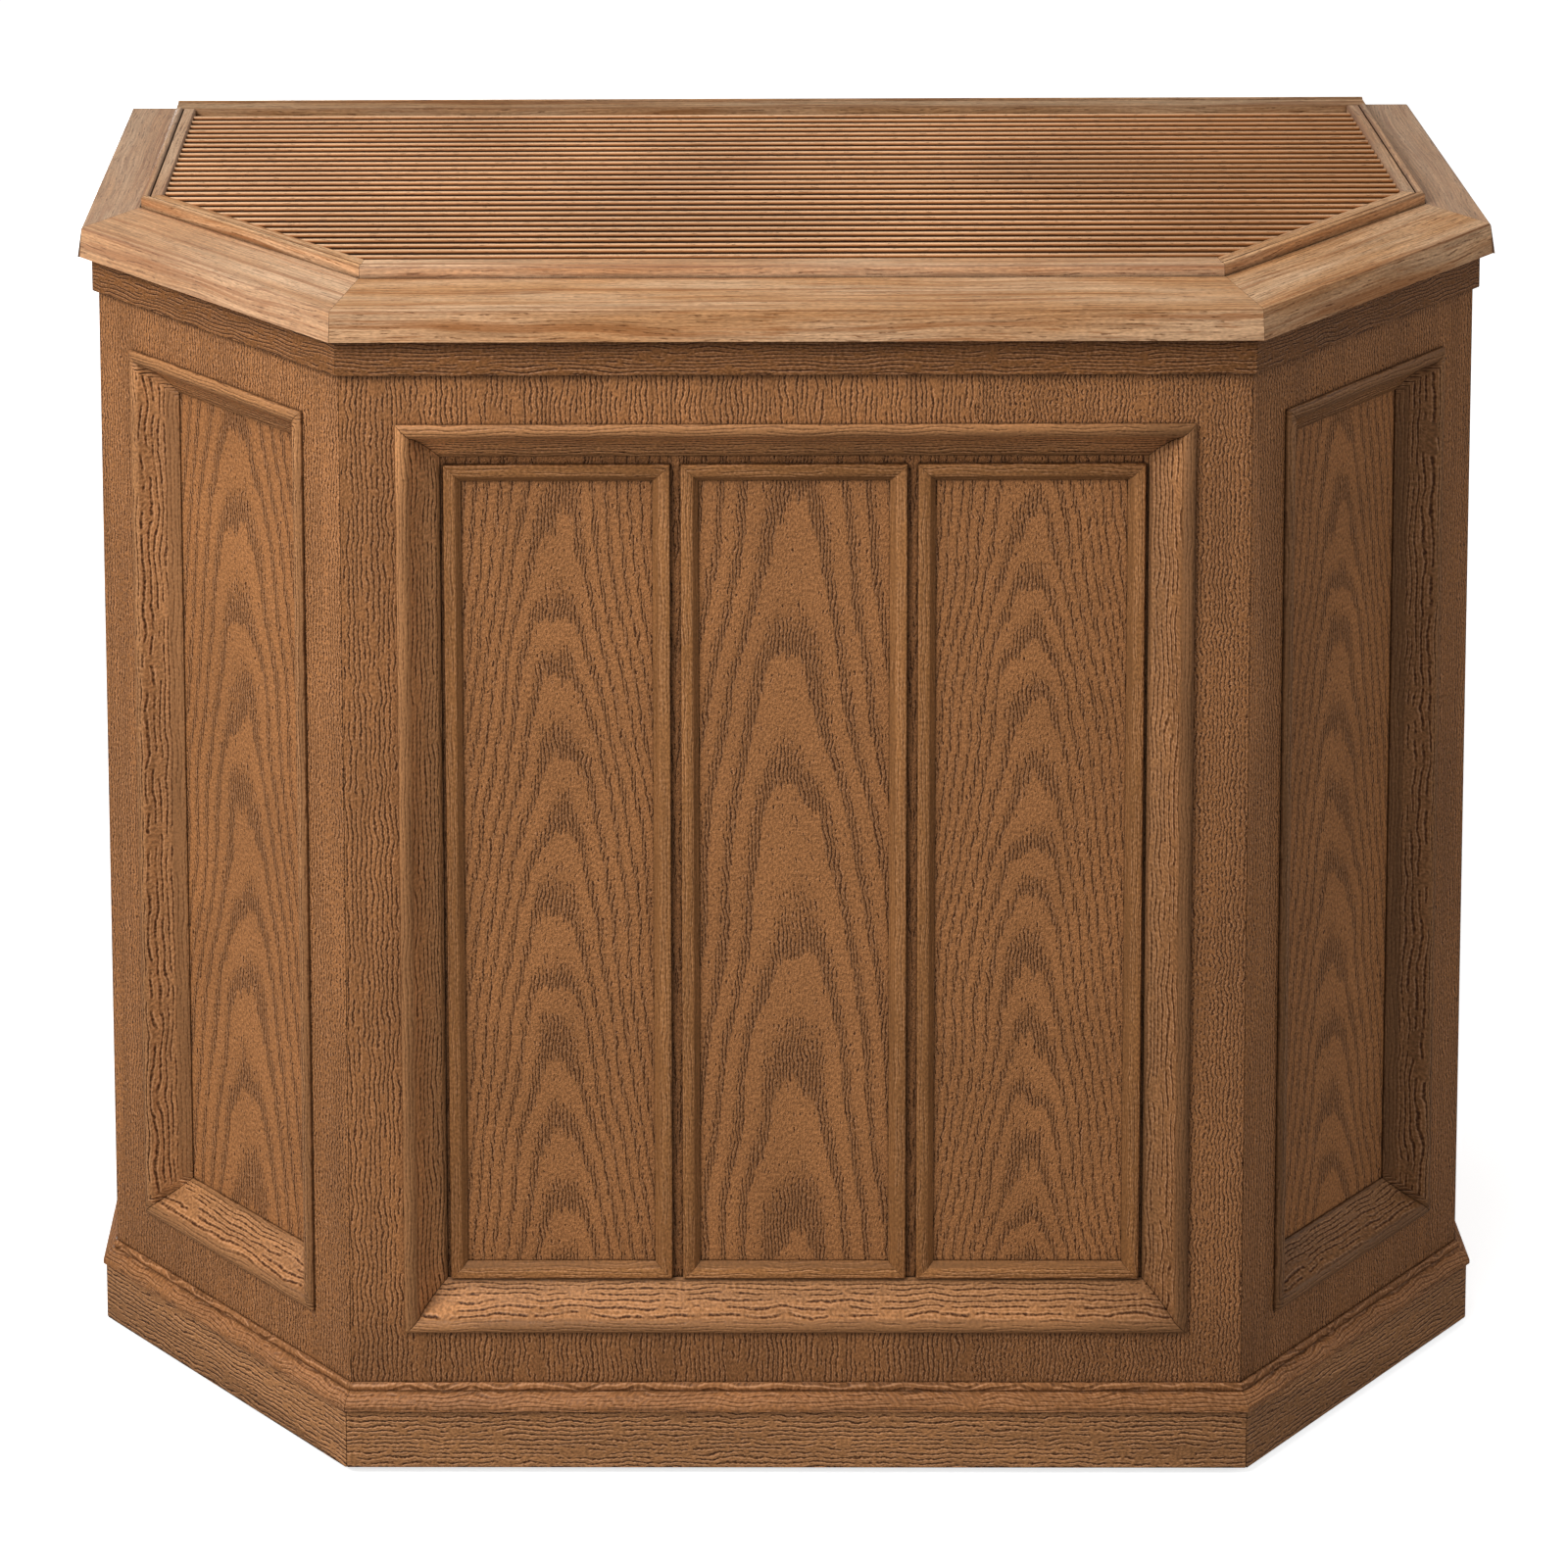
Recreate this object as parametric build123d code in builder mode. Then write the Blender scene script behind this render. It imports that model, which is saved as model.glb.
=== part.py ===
from build123d import *
import os
from math import cos, radians, sin, sqrt

# Console evaporative humidifier in a five-sided oak cabinet.
# +X is to the right seen from the front, +Y is to the back, +Z is up, in millimetres.
# The origin is on the floor, at the centre of the overall footprint.

# ---- driving dimensions: cabinet ------------------------------------------------------
body_width = 700.0
body_depth = 354.0
front_width = 438.0
board = 14.0
floor_gap = 4.0
seam = 0.15

plinth_height = 30.0
plinth_proud = 5.8
plinth_inner = 22.0
cap_proud = 7.3
cap_height = 11.7
apron_proud = 3.1
apron_height = 18.8
cornice_proud = 9.7
cornice_top_proud = 7.8
cornice_height = 14.9
body_height = 573.6

# ---- driving dimensions: lid ----------------------------------------------------------
lid_front_inset = 43.0
lid_canted_inset = 36.0
lid_side_inset = 18.8
lid_rear_inset = 4.0
front_rail_width = 14.5
canted_rail_width = 11.5
side_rail_width = 11.0
rear_rail_width = 16.0
lid_gap = 0.6
lid_rise = 6.0
ledge_width = 5.0
ledge_height = 2.4
slat_count = 29
slat_pitch = 9.09
slat_thickness = 3.0
slat_ridge_radius = 1.2
slat_lean = 1.6
slat_height = 12.0
first_slat_inset = 67.0
pivot_radius = 3.0
pivot_reach = 10.0
pivot_tang_radius = 1.8
running_gap = 0.06

# ---- driving dimensions: mouldings ----------------------------------------------------
front_frame_width = 384.0
canted_frame_width = 132.5
frame_bottom = 67.9
frame_top = 529.8
frame_lap = 6.5
moulding_width = 20.7
field_panel_thickness = 6.0
bead_frame_width = 109.6
bead_frame_spacing = 114.9
bead_frame_bottom = 88.75
bead_frame_top = 505.2

# ---- driving dimensions: inside -------------------------------------------------------
tray_thickness = 6.0
post_leg = 23.0
deck_level = 430.0
deck_thickness = 5.0
tub_length = 500.0
tub_width = 230.0
tub_height = 170.0
tub_wall = 3.0
tub_corner = 22.0
fan_radius = 101.0
ring_radius = 105.0
ring_wall = 4.0
guard_level = 478.0
motor_radius = 36.0
motor_height = 37.0
shaft_radius = 3.0
wheel_radius = 11.0
wheel_width = 12.0
wheel_rounding = 1.5
caster_trail = 9.0
stem_radius = 4.0
stem_length = 24.0

# ---- derived levels and lines ---------------------------------------------------------
rear_y = (body_depth + cornice_proud) / 2
front_y = rear_y - body_depth
middle_y = (front_y + rear_y) / 2
half_width = body_width / 2
half_front = front_width / 2
cant_run = half_width - half_front

plinth_top = floor_gap + plinth_height
body_top = floor_gap + body_height
cornice_top = body_top + cornice_height
lid_top = cornice_top + lid_rise
lid_bottom = body_top + ledge_height + lid_gap
slat_top = lid_top - 2.0
tray_top = plinth_top + tray_thickness
pivot_y = rear_y - lid_rear_inset - 2.0
pivot_z = lid_bottom + 4.4
deck_top = deck_level + deck_thickness

os.makedirs("parts", exist_ok=True)


def finish(piece, name):
    """Label a finished piece and write it as its own STEP file."""
    piece.label = name
    export_step(piece, f"parts/{name}.step")


# ---- plan geometry --------------------------------------------------------------------
def front_corner(front_offset, canted_offset, side):
    """Plan corner between the front and a canted face; side is -1 left, +1 right."""
    y = front_y - front_offset
    x = half_front + canted_offset * sqrt(2) + (y - front_y)
    return Vector(side * x, y)


def side_corner(canted_offset, side_offset, side):
    """Plan corner between a canted face and a side face."""
    x = half_width + side_offset
    y = front_y + x - half_front - canted_offset * sqrt(2)
    return Vector(side * x, y)


def plan_outline(front_offset, canted_offset, side_offset, back_y):
    """Closed five-sided plan outline with its own offset for each kind of face."""
    right_front = front_corner(front_offset, canted_offset, 1)
    right_side = side_corner(canted_offset, side_offset, 1)
    left_side = side_corner(canted_offset, side_offset, -1)
    left_front = front_corner(front_offset, canted_offset, -1)
    right_back = Vector(half_width + side_offset, back_y)
    left_back = Vector(-half_width - side_offset, back_y)
    return [left_front, right_front, right_side, right_back, left_back, left_side]


def face_plane(kind, side, height=0.0):
    """Plane on a body face at its middle: x along the face, y up, z outward."""
    if kind == "front":
        middle = Vector(0, front_y, height)
        outward = Vector(0, -1, 0)
    elif kind == "canted":
        middle = Vector(side * (half_front + cant_run / 2), front_y + cant_run / 2, height)
        outward = Vector(side * sin(radians(45)), -cos(radians(45)), 0)
    else:
        middle = Vector(side * half_width, (front_y + cant_run + rear_y) / 2, height)
        outward = Vector(side, 0, 0)
    return Plane(origin=middle, x_dir=Vector(0, 0, 1).cross(outward), z_dir=outward)


def section_plane(kind, side):
    """Plane square to the run of a face: x outward, y up from the floor."""
    face = face_plane(kind, side)
    return Plane(origin=face.origin, x_dir=face.z_dir, z_dir=face.z_dir.cross(Vector(0, 0, 1)))


def mitre_plane(outer, inner, keep_towards):
    """Upright cutting plane through two plan points, half a seam short of the joint."""
    run = (inner - outer).normalized()
    normal = Vector(-run.Y, run.X, 0)
    if normal.dot(keep_towards - outer) < 0:
        normal = normal * -1
    return Plane(origin=outer + normal * (seam / 2), z_dir=normal)


def course_cuts(kind, side, outer, inner):
    """The two end cuts of a mitred length; outer and inner are (front, canted, side) offsets."""
    middle = face_plane(kind, side).origin
    front_cut = [
        mitre_plane(front_corner(*outer[:2], s), front_corner(*inner[:2], s), middle)
        for s in ((-1, 1) if kind == "front" else (side,))
    ]
    if kind == "front":
        return front_cut
    side_cut = mitre_plane(side_corner(*outer[1:], side), side_corner(*inner[1:], side), middle)
    if kind == "canted":
        return front_cut + [side_cut]
    return [side_cut, Plane(origin=(0, rear_y, 0), z_dir=(0, -1, 0))]


def mitred_length(profile, kind, side, outer, inner):
    """One straight length of a profile along a face, cut to its mitres."""
    with BuildPart() as length:
        with BuildSketch(section_plane(kind, side)):
            add(profile)
        extrude(amount=body_width, both=True)
        for cut in course_cuts(kind, side, outer, inner):
            split(bisect_by=cut, keep=Keep.TOP)
    return length.part


def even(offset):
    """The same offset on the front, canted and side faces."""
    return (offset, offset, offset)


# The five faces that carry boards and mouldings, from the front round both sides.
faces = [("front", 0), ("canted", -1), ("canted", 1), ("side", -1), ("side", 1)]
face_names = {
    ("front", 0): "front",
    ("canted", -1): "left_canted",
    ("canted", 1): "right_canted",
    ("side", -1): "left_side",
    ("side", 1): "right_side",
}


# ---- body boards ----------------------------------------------------------------------
frame_height = frame_top - frame_bottom
frame_centre = floor_gap + (frame_top + frame_bottom) / 2

with BuildSketch() as board_profile:
    with Locations((-board, plinth_top)):
        Rectangle(board, body_top - plinth_top, align=(Align.MIN, Align.MIN))

frame_widths = {"front": front_frame_width, "canted": canted_frame_width}
for kind, side in faces:
    blank = mitred_length(board_profile.sketch, kind, side, even(0), even(-board))
    with BuildPart() as body_board:
        add(blank)
        if kind in frame_widths:
            with BuildSketch(face_plane(kind, side, frame_centre)):
                Rectangle(frame_widths[kind] - 2 * frame_lap, frame_height - 2 * frame_lap)
            extrude(amount=-board, mode=Mode.SUBTRACT)
    finish(body_board.part, f"{face_names[kind, side]}_board")

field_names = {0: "front_field_panel", -1: "left_field_panel", 1: "right_field_panel"}
for kind, side in faces[:3]:
    with BuildPart() as field_panel:
        with BuildSketch(face_plane(kind, side, frame_centre).offset(-board - seam)):
            Rectangle(frame_widths[kind] - 6, frame_height - 6)
        extrude(amount=-field_panel_thickness)
    finish(field_panel.part, field_names[side])


# ---- picture-frame mouldings ----------------------------------------------------------
def frame_lengths(face, profile, width, height):
    """Four mitred lengths of a moulding around a rectangle centred on a face plane."""
    upright = face.y_dir
    along = face.x_dir
    sides = [
        (along, upright, width / 2),
        (along * -1, upright * -1, width / 2),
        (upright, along * -1, height / 2),
        (upright * -1, along, height / 2),
    ]
    lengths = []
    for away, run, reach in sides:
        other_reach = (width + height) / 2 - reach
        middle = face.origin + away * reach
        with BuildPart() as length:
            with BuildSketch(Plane(origin=middle, x_dir=away, z_dir=away.cross(face.z_dir))):
                add(profile)
            extrude(amount=other_reach, both=True)
            for end in (1, -1):
                inward = run * -end
                corner = middle + run * (end * other_reach) + inward * (seam / 2)
                split(bisect_by=Plane(origin=corner, z_dir=away + inward), keep=Keep.TOP)
        lengths.append(length.part)
    return lengths


# Bolection profile: x is in from the outer edge (negative), y is proud of the board.
bead_width = 7.0
with BuildSketch() as bolection_profile:
    with BuildLine():
        Line((0, seam), (0, 1.5))
        ThreePointArc((0, 1.5), (-3.2, 3.0), (-6.4, 1.6))
        Line((-6.4, 1.6), (-bead_width, 0.4))
        ThreePointArc((-bead_width, 0.4), (-12.7, -7.7), (-moulding_width, -board + 0.9))
        Polyline(
            (-moulding_width, -board + 0.9),
            (-moulding_width, -board),
            (-frame_lap - seam, -board),
            (-frame_lap - seam, seam),
            (0, seam),
        )
    make_face()

moulding_names = {0: "front_moulding", -1: "left_canted_moulding", 1: "right_canted_moulding"}
for kind, side in faces[:3]:
    frame_face = face_plane(kind, side, frame_centre)
    with BuildPart() as moulding:
        profile = bolection_profile.sketch
        for length in frame_lengths(frame_face, profile, frame_widths[kind], frame_height):
            add(length)
    finish(moulding.part, moulding_names[side])

# Small bead: x is in from the outer edge, y is proud of the field.
bead_frame_height = bead_frame_top - bead_frame_bottom
bead_frame_centre = floor_gap + (bead_frame_top + bead_frame_bottom) / 2
with BuildSketch() as small_bead_profile:
    with BuildLine():
        Line((0, 0), (0, 1.9))
        ThreePointArc((0, 1.9), (-0.3, 2.6), (-1.0, 2.9))
        ThreePointArc((-1.0, 2.9), (-3.4, 3.2), (-5.8, 2.9))
        Polyline((-5.8, 2.9), (-8.4, 0.7), (-8.4, 0), (0, 0))
    make_face()

with BuildPart() as field_bead_frames:
    field = face_plane("front", 0, bead_frame_centre).offset(-board)
    for column in (-1, 0, 1):
        column_face = Plane(
            origin=field.origin + field.x_dir * (column * bead_frame_spacing),
            x_dir=field.x_dir,
            z_dir=field.z_dir,
        )
        profile = small_bead_profile.sketch
        for length in frame_lengths(column_face, profile, bead_frame_width, bead_frame_height):
            add(length)
finish(field_bead_frames.part, "field_bead_frames")


# ---- plinth, cap, apron and cornice ---------------------------------------------------
with BuildSketch() as plinth_profile:
    with Locations((-plinth_inner, floor_gap)):
        Rectangle(plinth_inner + plinth_proud, plinth_height - seam, align=(Align.MIN, Align.MIN))

for kind, side in faces:
    plinth = mitred_length(plinth_profile.sketch, kind, side, even(plinth_proud), even(-plinth_inner))
    finish(plinth, f"plinth_{face_names[kind, side]}")

with BuildPart() as plinth_rear:
    with BuildSketch(Plane.XY.offset(floor_gap)):
        with Locations((0, rear_y - plinth_inner / 2)):
            Rectangle(body_width - 2 * plinth_inner - 2 * seam, plinth_inner)
    extrude(amount=plinth_height - seam)
    with BuildSketch(Plane.XY.offset(floor_gap)):
        with Locations((half_width - 80, rear_y - plinth_inner / 2)):
            Rectangle(16, plinth_inner)
    extrude(amount=12, mode=Mode.SUBTRACT)
finish(plinth_rear.part, "plinth_rear")

# Cap moulding: a square lip, a rounded slope, a quirk and a small bead against the boards.
with BuildSketch() as cap_profile:
    with BuildLine():
        Polyline((seam, plinth_top), (cap_proud, plinth_top), (cap_proud, plinth_top + 1.8))
        ThreePointArc(
            (cap_proud, plinth_top + 1.8),
            (5.6, plinth_top + 5.0),
            (2.6, plinth_top + 7.2),
        )
        Line((2.6, plinth_top + 7.2), (1.5, plinth_top + 7.6))
        ThreePointArc(
            (1.5, plinth_top + 7.6),
            (2.1, plinth_top + 9.6),
            (1.1, plinth_top + cap_height),
        )
        Polyline((1.1, plinth_top + cap_height), (seam, plinth_top + cap_height), (seam, plinth_top))
    make_face()

with BuildPart() as plinth_cap:
    for kind, side in faces:
        add(mitred_length(cap_profile.sketch, kind, side, even(cap_proud), even(0)))
finish(plinth_cap.part, "plinth_cap")

with BuildSketch() as apron_profile:
    with Locations((seam, body_top - apron_height)):
        Rectangle(apron_proud - seam, apron_height - seam, align=(Align.MIN, Align.MIN))

with BuildPart() as apron:
    for kind, side in faces:
        add(mitred_length(apron_profile.sketch, kind, side, even(apron_proud), even(0)))
finish(apron.part, "apron")

# Cornice boards: leaning fascia outside, a rebate inside that carries the lid.
lid_insets = (-lid_front_inset, -lid_canted_inset, -lid_side_inset)
opening_offsets = tuple(inset + lid_gap for inset in lid_insets)
opening_by_kind = dict(zip(("front", "canted", "side"), opening_offsets))
edge_radius = 1.2
for kind, side in faces:
    opening = opening_by_kind[kind]
    with BuildSketch() as cornice_profile:
        with BuildLine():
            Polyline(
                (cornice_proud, body_top),
                (cornice_top_proud, cornice_top),
                (opening, cornice_top),
                (opening, body_top + ledge_height),
                (opening - ledge_width, body_top + ledge_height),
                (opening - ledge_width, body_top),
                close=True,
            )
        make_face()
        top_outer = cornice_profile.vertices().sort_by(Axis.Y)[-2:].sort_by(Axis.X)[-1]
        fillet(top_outer, radius=edge_radius)
    blank = mitred_length(cornice_profile.sketch, kind, side, even(cornice_top_proud), opening_offsets)
    with BuildPart() as cornice:
        add(blank)
        if kind == "side":
            pivot = (side * (half_width + opening), pivot_y, pivot_z)
            with BuildSketch(Plane(origin=pivot, x_dir=(0, 1, 0), z_dir=(side, 0, 0))):
                Circle(pivot_radius + running_gap)
            extrude(amount=pivot_reach + 1, mode=Mode.SUBTRACT)
    finish(cornice.part, f"cornice_{face_names[kind, side]}")


# ---- back, tray and posts -------------------------------------------------------------
back_thickness = 10.0
back_inner_y = rear_y - back_thickness
intake_width = 380.0
intake_bottom = 90.0
intake_top = 400.0
intake_clearance = 0.4
intake_centre = (intake_bottom + intake_top) / 2
back_screw_levels = (70.0, 240.0, 410.0)
back_screw_x = half_width - board - 11.0
screw_radius = 2.0
screw_head_radius = 4.0
rear_face = Plane(origin=(0, rear_y, 0), x_dir=(-1, 0, 0), z_dir=(0, 1, 0))
back_screw_places = [(s * back_screw_x, level) for s in (-1, 1) for level in back_screw_levels]

with BuildPart() as back_panel:
    with BuildSketch(rear_face):
        with Locations((0, plinth_top)):
            Rectangle(
                body_width - 2 * board - 2 * seam,
                body_top - plinth_top,
                align=(Align.CENTER, Align.MIN),
            )
        with Locations((0, intake_centre)):
            Rectangle(intake_width, intake_top - intake_bottom, mode=Mode.SUBTRACT)
    extrude(amount=-back_thickness)
    for x, z in back_screw_places:
        with Locations(Plane(origin=(-x, rear_y, z), x_dir=(-1, 0, 0), z_dir=(0, 1, 0))):
            CounterSinkHole(screw_radius, screw_head_radius, depth=back_thickness, counter_sink_angle=90)
finish(back_panel.part, "back_panel")

louvre_count = 18
louvre_frame = 10.0
with BuildPart() as intake_grille:
    with BuildSketch(rear_face.offset(-1)):
        with Locations((0, intake_centre)):
            Rectangle(intake_width - intake_clearance, intake_top - intake_bottom - intake_clearance)
            Rectangle(
                intake_width - 2 * louvre_frame,
                intake_top - intake_bottom - 2 * louvre_frame,
                mode=Mode.SUBTRACT,
            )
    extrude(amount=-8)
    louvre_pitch = (intake_top - intake_bottom - 2 * louvre_frame) / (louvre_count + 1)
    for i in range(louvre_count):
        level = intake_bottom + louvre_frame + louvre_pitch * (i + 1)
        with Locations(Location((0, rear_y - 5, level), (35, 0, 0))):
            Box(intake_width - 2 * louvre_frame + 2, 8.5, 2.4)
finish(intake_grille.part, "intake_grille")

front_caster = (190.0, middle_y - 128.0)
rear_caster = (300.0, middle_y + 125.0)
caster_places = {
    "front_left": (-front_caster[0], front_caster[1]),
    "front_right": front_caster,
    "rear_left": (-rear_caster[0], rear_caster[1]),
    "rear_right": rear_caster,
}
boss_height = 20.0
tray_offset = -board - seam
with BuildPart() as base_tray:
    with BuildSketch(Plane.XY.offset(plinth_top)):
        with BuildLine():
            outline = plan_outline(tray_offset, tray_offset, tray_offset, back_inner_y - seam)
            Polyline(*outline, close=True)
        make_face()
    extrude(amount=tray_thickness)
    with BuildSketch(Plane.XY.offset(tray_top)):
        with Locations(*caster_places.values()):
            Circle(9)
    extrude(amount=boss_height)
    with BuildSketch(Plane.XY.offset(plinth_top)):
        with Locations(*caster_places.values()):
            Circle(stem_radius + running_gap)
    extrude(amount=tray_thickness + boss_height, mode=Mode.SUBTRACT)
finish(base_tray.part, "base_tray")


def post_frame(corner_kind, side):
    """Inner corner of the cabinet and the two wall directions that leave it."""
    if corner_kind == "front":
        corner = front_corner(tray_offset, tray_offset, side)
        walls = (Vector(-side, 0), Vector(side, 1).normalized())
    elif corner_kind == "side":
        corner = side_corner(tray_offset, tray_offset, side)
        walls = (Vector(-side, -1).normalized(), Vector(0, 1))
    else:
        corner = Vector(side * (half_width + tray_offset), back_inner_y - seam)
        walls = (Vector(0, -1), Vector(-side, 0))
    return corner, walls


post_corners = [(kind, side) for kind in ("front", "side", "rear") for side in (-1, 1)]
deck_screw_reach = 17.0
deck_screw_places = []
for corner_kind, side in post_corners:
    corner, walls = post_frame(corner_kind, side)
    deck_screw_places.append(corner + (walls[0] + walls[1]) * deck_screw_reach)
deck_screw_length = 16.0

with BuildPart() as corner_posts:
    with BuildSketch(Plane.XY.offset(tray_top)):
        for corner_kind, side in post_corners:
            corner, (wall_a, wall_b) = post_frame(corner_kind, side)
            with BuildLine():
                Polyline(
                    corner,
                    corner + wall_a * post_leg,
                    corner + (wall_a + wall_b) * post_leg,
                    corner + wall_b * post_leg,
                    close=True,
                )
            make_face()
    extrude(amount=deck_level - tray_top)
    with BuildSketch(Plane.XY.offset(deck_level)):
        with Locations(*deck_screw_places):
            Circle(screw_radius)
    extrude(amount=deck_thickness - deck_screw_length, mode=Mode.SUBTRACT)
    for x, z in back_screw_places:
        with BuildSketch(Plane(origin=(-x, back_inner_y, z), x_dir=(-1, 0, 0), z_dir=(0, 1, 0))):
            Circle(screw_radius)
        extrude(amount=-8, mode=Mode.SUBTRACT)
finish(corner_posts.part, "corner_posts")


# ---- lid ------------------------------------------------------------------------------
rail_widths = (front_rail_width, canted_rail_width, side_rail_width)
inner_insets = tuple(inset - width for inset, width in zip(lid_insets, rail_widths))
lid_rear_y = rear_y - lid_rear_inset
slat_field_rear_y = lid_rear_y - rear_rail_width
rail_bead = 4.0
rail_quirk = 0.9


def rail_profile(inset, width):
    """Rail section: rounded outer bead, a narrow quirk, then a flat inner band."""
    with BuildSketch() as profile:
        with BuildLine():
            Polyline((inset - width, lid_bottom), (inset, lid_bottom), (inset, lid_top - 1.2))
            ThreePointArc(
                (inset, lid_top - 1.2),
                (inset - rail_bead / 2, lid_top),
                (inset - rail_bead, lid_top - 1.0),
            )
            Polyline(
                (inset - rail_bead, lid_top - 1.0),
                (inset - rail_bead, lid_top - 2.0),
                (inset - rail_bead - rail_quirk, lid_top - 2.0),
                (inset - rail_bead - rail_quirk, lid_top - 0.9),
                (inset - width + 0.8, lid_top - 0.9),
                (inset - width, lid_top - 1.7),
                (inset - width, lid_bottom),
            )
        make_face()
    return profile.sketch


def lid_rail(kind, side):
    """One mitred rail of the lid frame."""
    index = ("front", "canted", "side").index(kind)
    profile = rail_profile(lid_insets[index], rail_widths[index])
    return mitred_length(profile, kind, side, lid_insets, inner_insets)


finish(lid_rail("front", 0), "lid_front_rail")

with BuildPart() as lid_canted_rails:
    for side in (-1, 1):
        add(lid_rail("canted", side))
finish(lid_canted_rails.part, "lid_canted_rails")

with BuildPart() as lid_side_rails:
    for side in (-1, 1):
        add(lid_rail("side", side))
    split(bisect_by=Plane(origin=(0, slat_field_rear_y - seam, 0), z_dir=(0, -1, 0)), keep=Keep.TOP)
finish(lid_side_rails.part, "lid_side_rails")


def pivot_plane(side):
    """Plane at an end of the rear rail, centred on the pivot, facing outward."""
    end = (side * (half_width - lid_side_inset), pivot_y, pivot_z)
    return Plane(origin=end, x_dir=(0, 1, 0), z_dir=(side, 0, 0))


with BuildPart() as lid_rear_rail:
    with BuildSketch(Plane(origin=(0, lid_rear_y, 0), x_dir=(0, 1, 0), z_dir=(1, 0, 0))):
        with BuildLine():
            Polyline((-rear_rail_width, lid_bottom), (0, lid_bottom), (0, lid_top - 1.2))
            ThreePointArc((0, lid_top - 1.2), (-rail_bead / 2, lid_top), (-rail_bead, lid_top - 1.0))
            Polyline(
                (-rail_bead, lid_top - 1.0),
                (-rear_rail_width + 0.8, lid_top - 1.0),
                (-rear_rail_width, lid_top - 1.8),
                (-rear_rail_width, lid_bottom),
            )
        make_face()
    extrude(amount=half_width - lid_side_inset, both=True)
    for side in (-1, 1):
        with BuildSketch(pivot_plane(side)):
            Circle(pivot_tang_radius)
        extrude(amount=-12, mode=Mode.SUBTRACT)
finish(lid_rear_rail.part, "lid_rear_rail")

# Shouldered pivot pins: a thin tang pressed in the rear rail, a running journal outside.
with BuildPart() as lid_pivot_pins:
    for side in (-1, 1):
        with BuildSketch(pivot_plane(side)):
            Circle(pivot_radius)
        extrude(amount=pivot_reach)
        with BuildSketch(pivot_plane(side)):
            Circle(pivot_tang_radius)
        extrude(amount=-11.5)
finish(lid_pivot_pins.part, "lid_pivot_pins")

slat_bottom = slat_top - slat_height
field_offsets = tuple(inset - seam for inset in inner_insets)
with BuildPart() as grille_slats:
    for i in range(slat_count):
        slat_y = front_y + first_slat_inset + slat_pitch * i
        with BuildSketch(Plane(origin=(0, slat_y, 0), x_dir=(0, 1, 0), z_dir=(1, 0, 0))) as slat_section:
            half = slat_thickness / 2
            with BuildLine():
                Polyline(
                    (-half + slat_lean, slat_bottom),
                    (half + slat_lean - 0.6, slat_bottom),
                    (half, slat_top),
                    (-half, slat_top),
                    close=True,
                )
            make_face()
            fillet(slat_section.vertices().group_by(Axis.Y)[-1], radius=slat_ridge_radius)
        extrude(amount=half_width, both=True)
    with BuildSketch(Plane.XY.offset(slat_bottom)):
        with BuildLine():
            Polyline(*plan_outline(*field_offsets, slat_field_rear_y - seam), close=True)
        make_face()
    extrude(amount=slat_height, mode=Mode.INTERSECT)
finish(grille_slats.part, "grille_slats")

rib_count = 7
rib_spacing = 90.0
rib_width = 3.0
with BuildPart() as grille_ribs:
    with BuildSketch(Plane.XY.offset(lid_bottom)):
        with GridLocations(rib_spacing, 1, rib_count, 1):
            Rectangle(rib_width, 2 * body_depth)
    extrude(amount=slat_bottom - lid_bottom)
    with BuildSketch(Plane.XY.offset(lid_bottom)):
        with BuildLine():
            Polyline(*plan_outline(*field_offsets, slat_field_rear_y - seam), close=True)
        make_face()
    extrude(amount=slat_bottom - lid_bottom, mode=Mode.INTERSECT)
finish(grille_ribs.part, "grille_ribs")


# ---- water side -----------------------------------------------------------------------
float_place = (-215.0, middle_y - 70.0)
float_rod_radius = 4.0
with BuildPart() as reservoir_tub:
    with BuildSketch(Plane.XY.offset(tray_top)):
        with Locations((0, middle_y + 5)):
            RectangleRounded(tub_length, tub_width, tub_corner)
    extrude(amount=tub_height)
    with BuildSketch(Plane.XY.offset(tray_top + tub_wall)):
        with Locations((0, middle_y + 5)):
            RectangleRounded(
                tub_length - 2 * tub_wall,
                tub_width - 2 * tub_wall,
                tub_corner - tub_wall,
            )
    extrude(amount=tub_height, mode=Mode.SUBTRACT)
    with BuildSketch(Plane.XY.offset(tray_top + tub_wall)):
        with Locations(float_place):
            Circle(float_rod_radius)
    extrude(amount=tub_height - tub_wall - 6)
    fillet(reservoir_tub.edges().group_by(Axis.Z)[0], radius=2)
finish(reservoir_tub.part, "reservoir_tub")

float_radius = 18.0
float_rest = tray_top + 22.0
with BuildPart() as water_float:
    with BuildSketch(Plane.XY.offset(float_rest)):
        with Locations(float_place):
            Circle(float_radius)
    extrude(amount=24)
    fillet(water_float.edges().filter_by(GeomType.CIRCLE), radius=3)
    with BuildSketch(Plane.XY.offset(float_rest)):
        with Locations(float_place):
            Circle(float_rod_radius + running_gap)
    extrude(amount=24, mode=Mode.SUBTRACT)
finish(water_float.part, "float")

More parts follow.
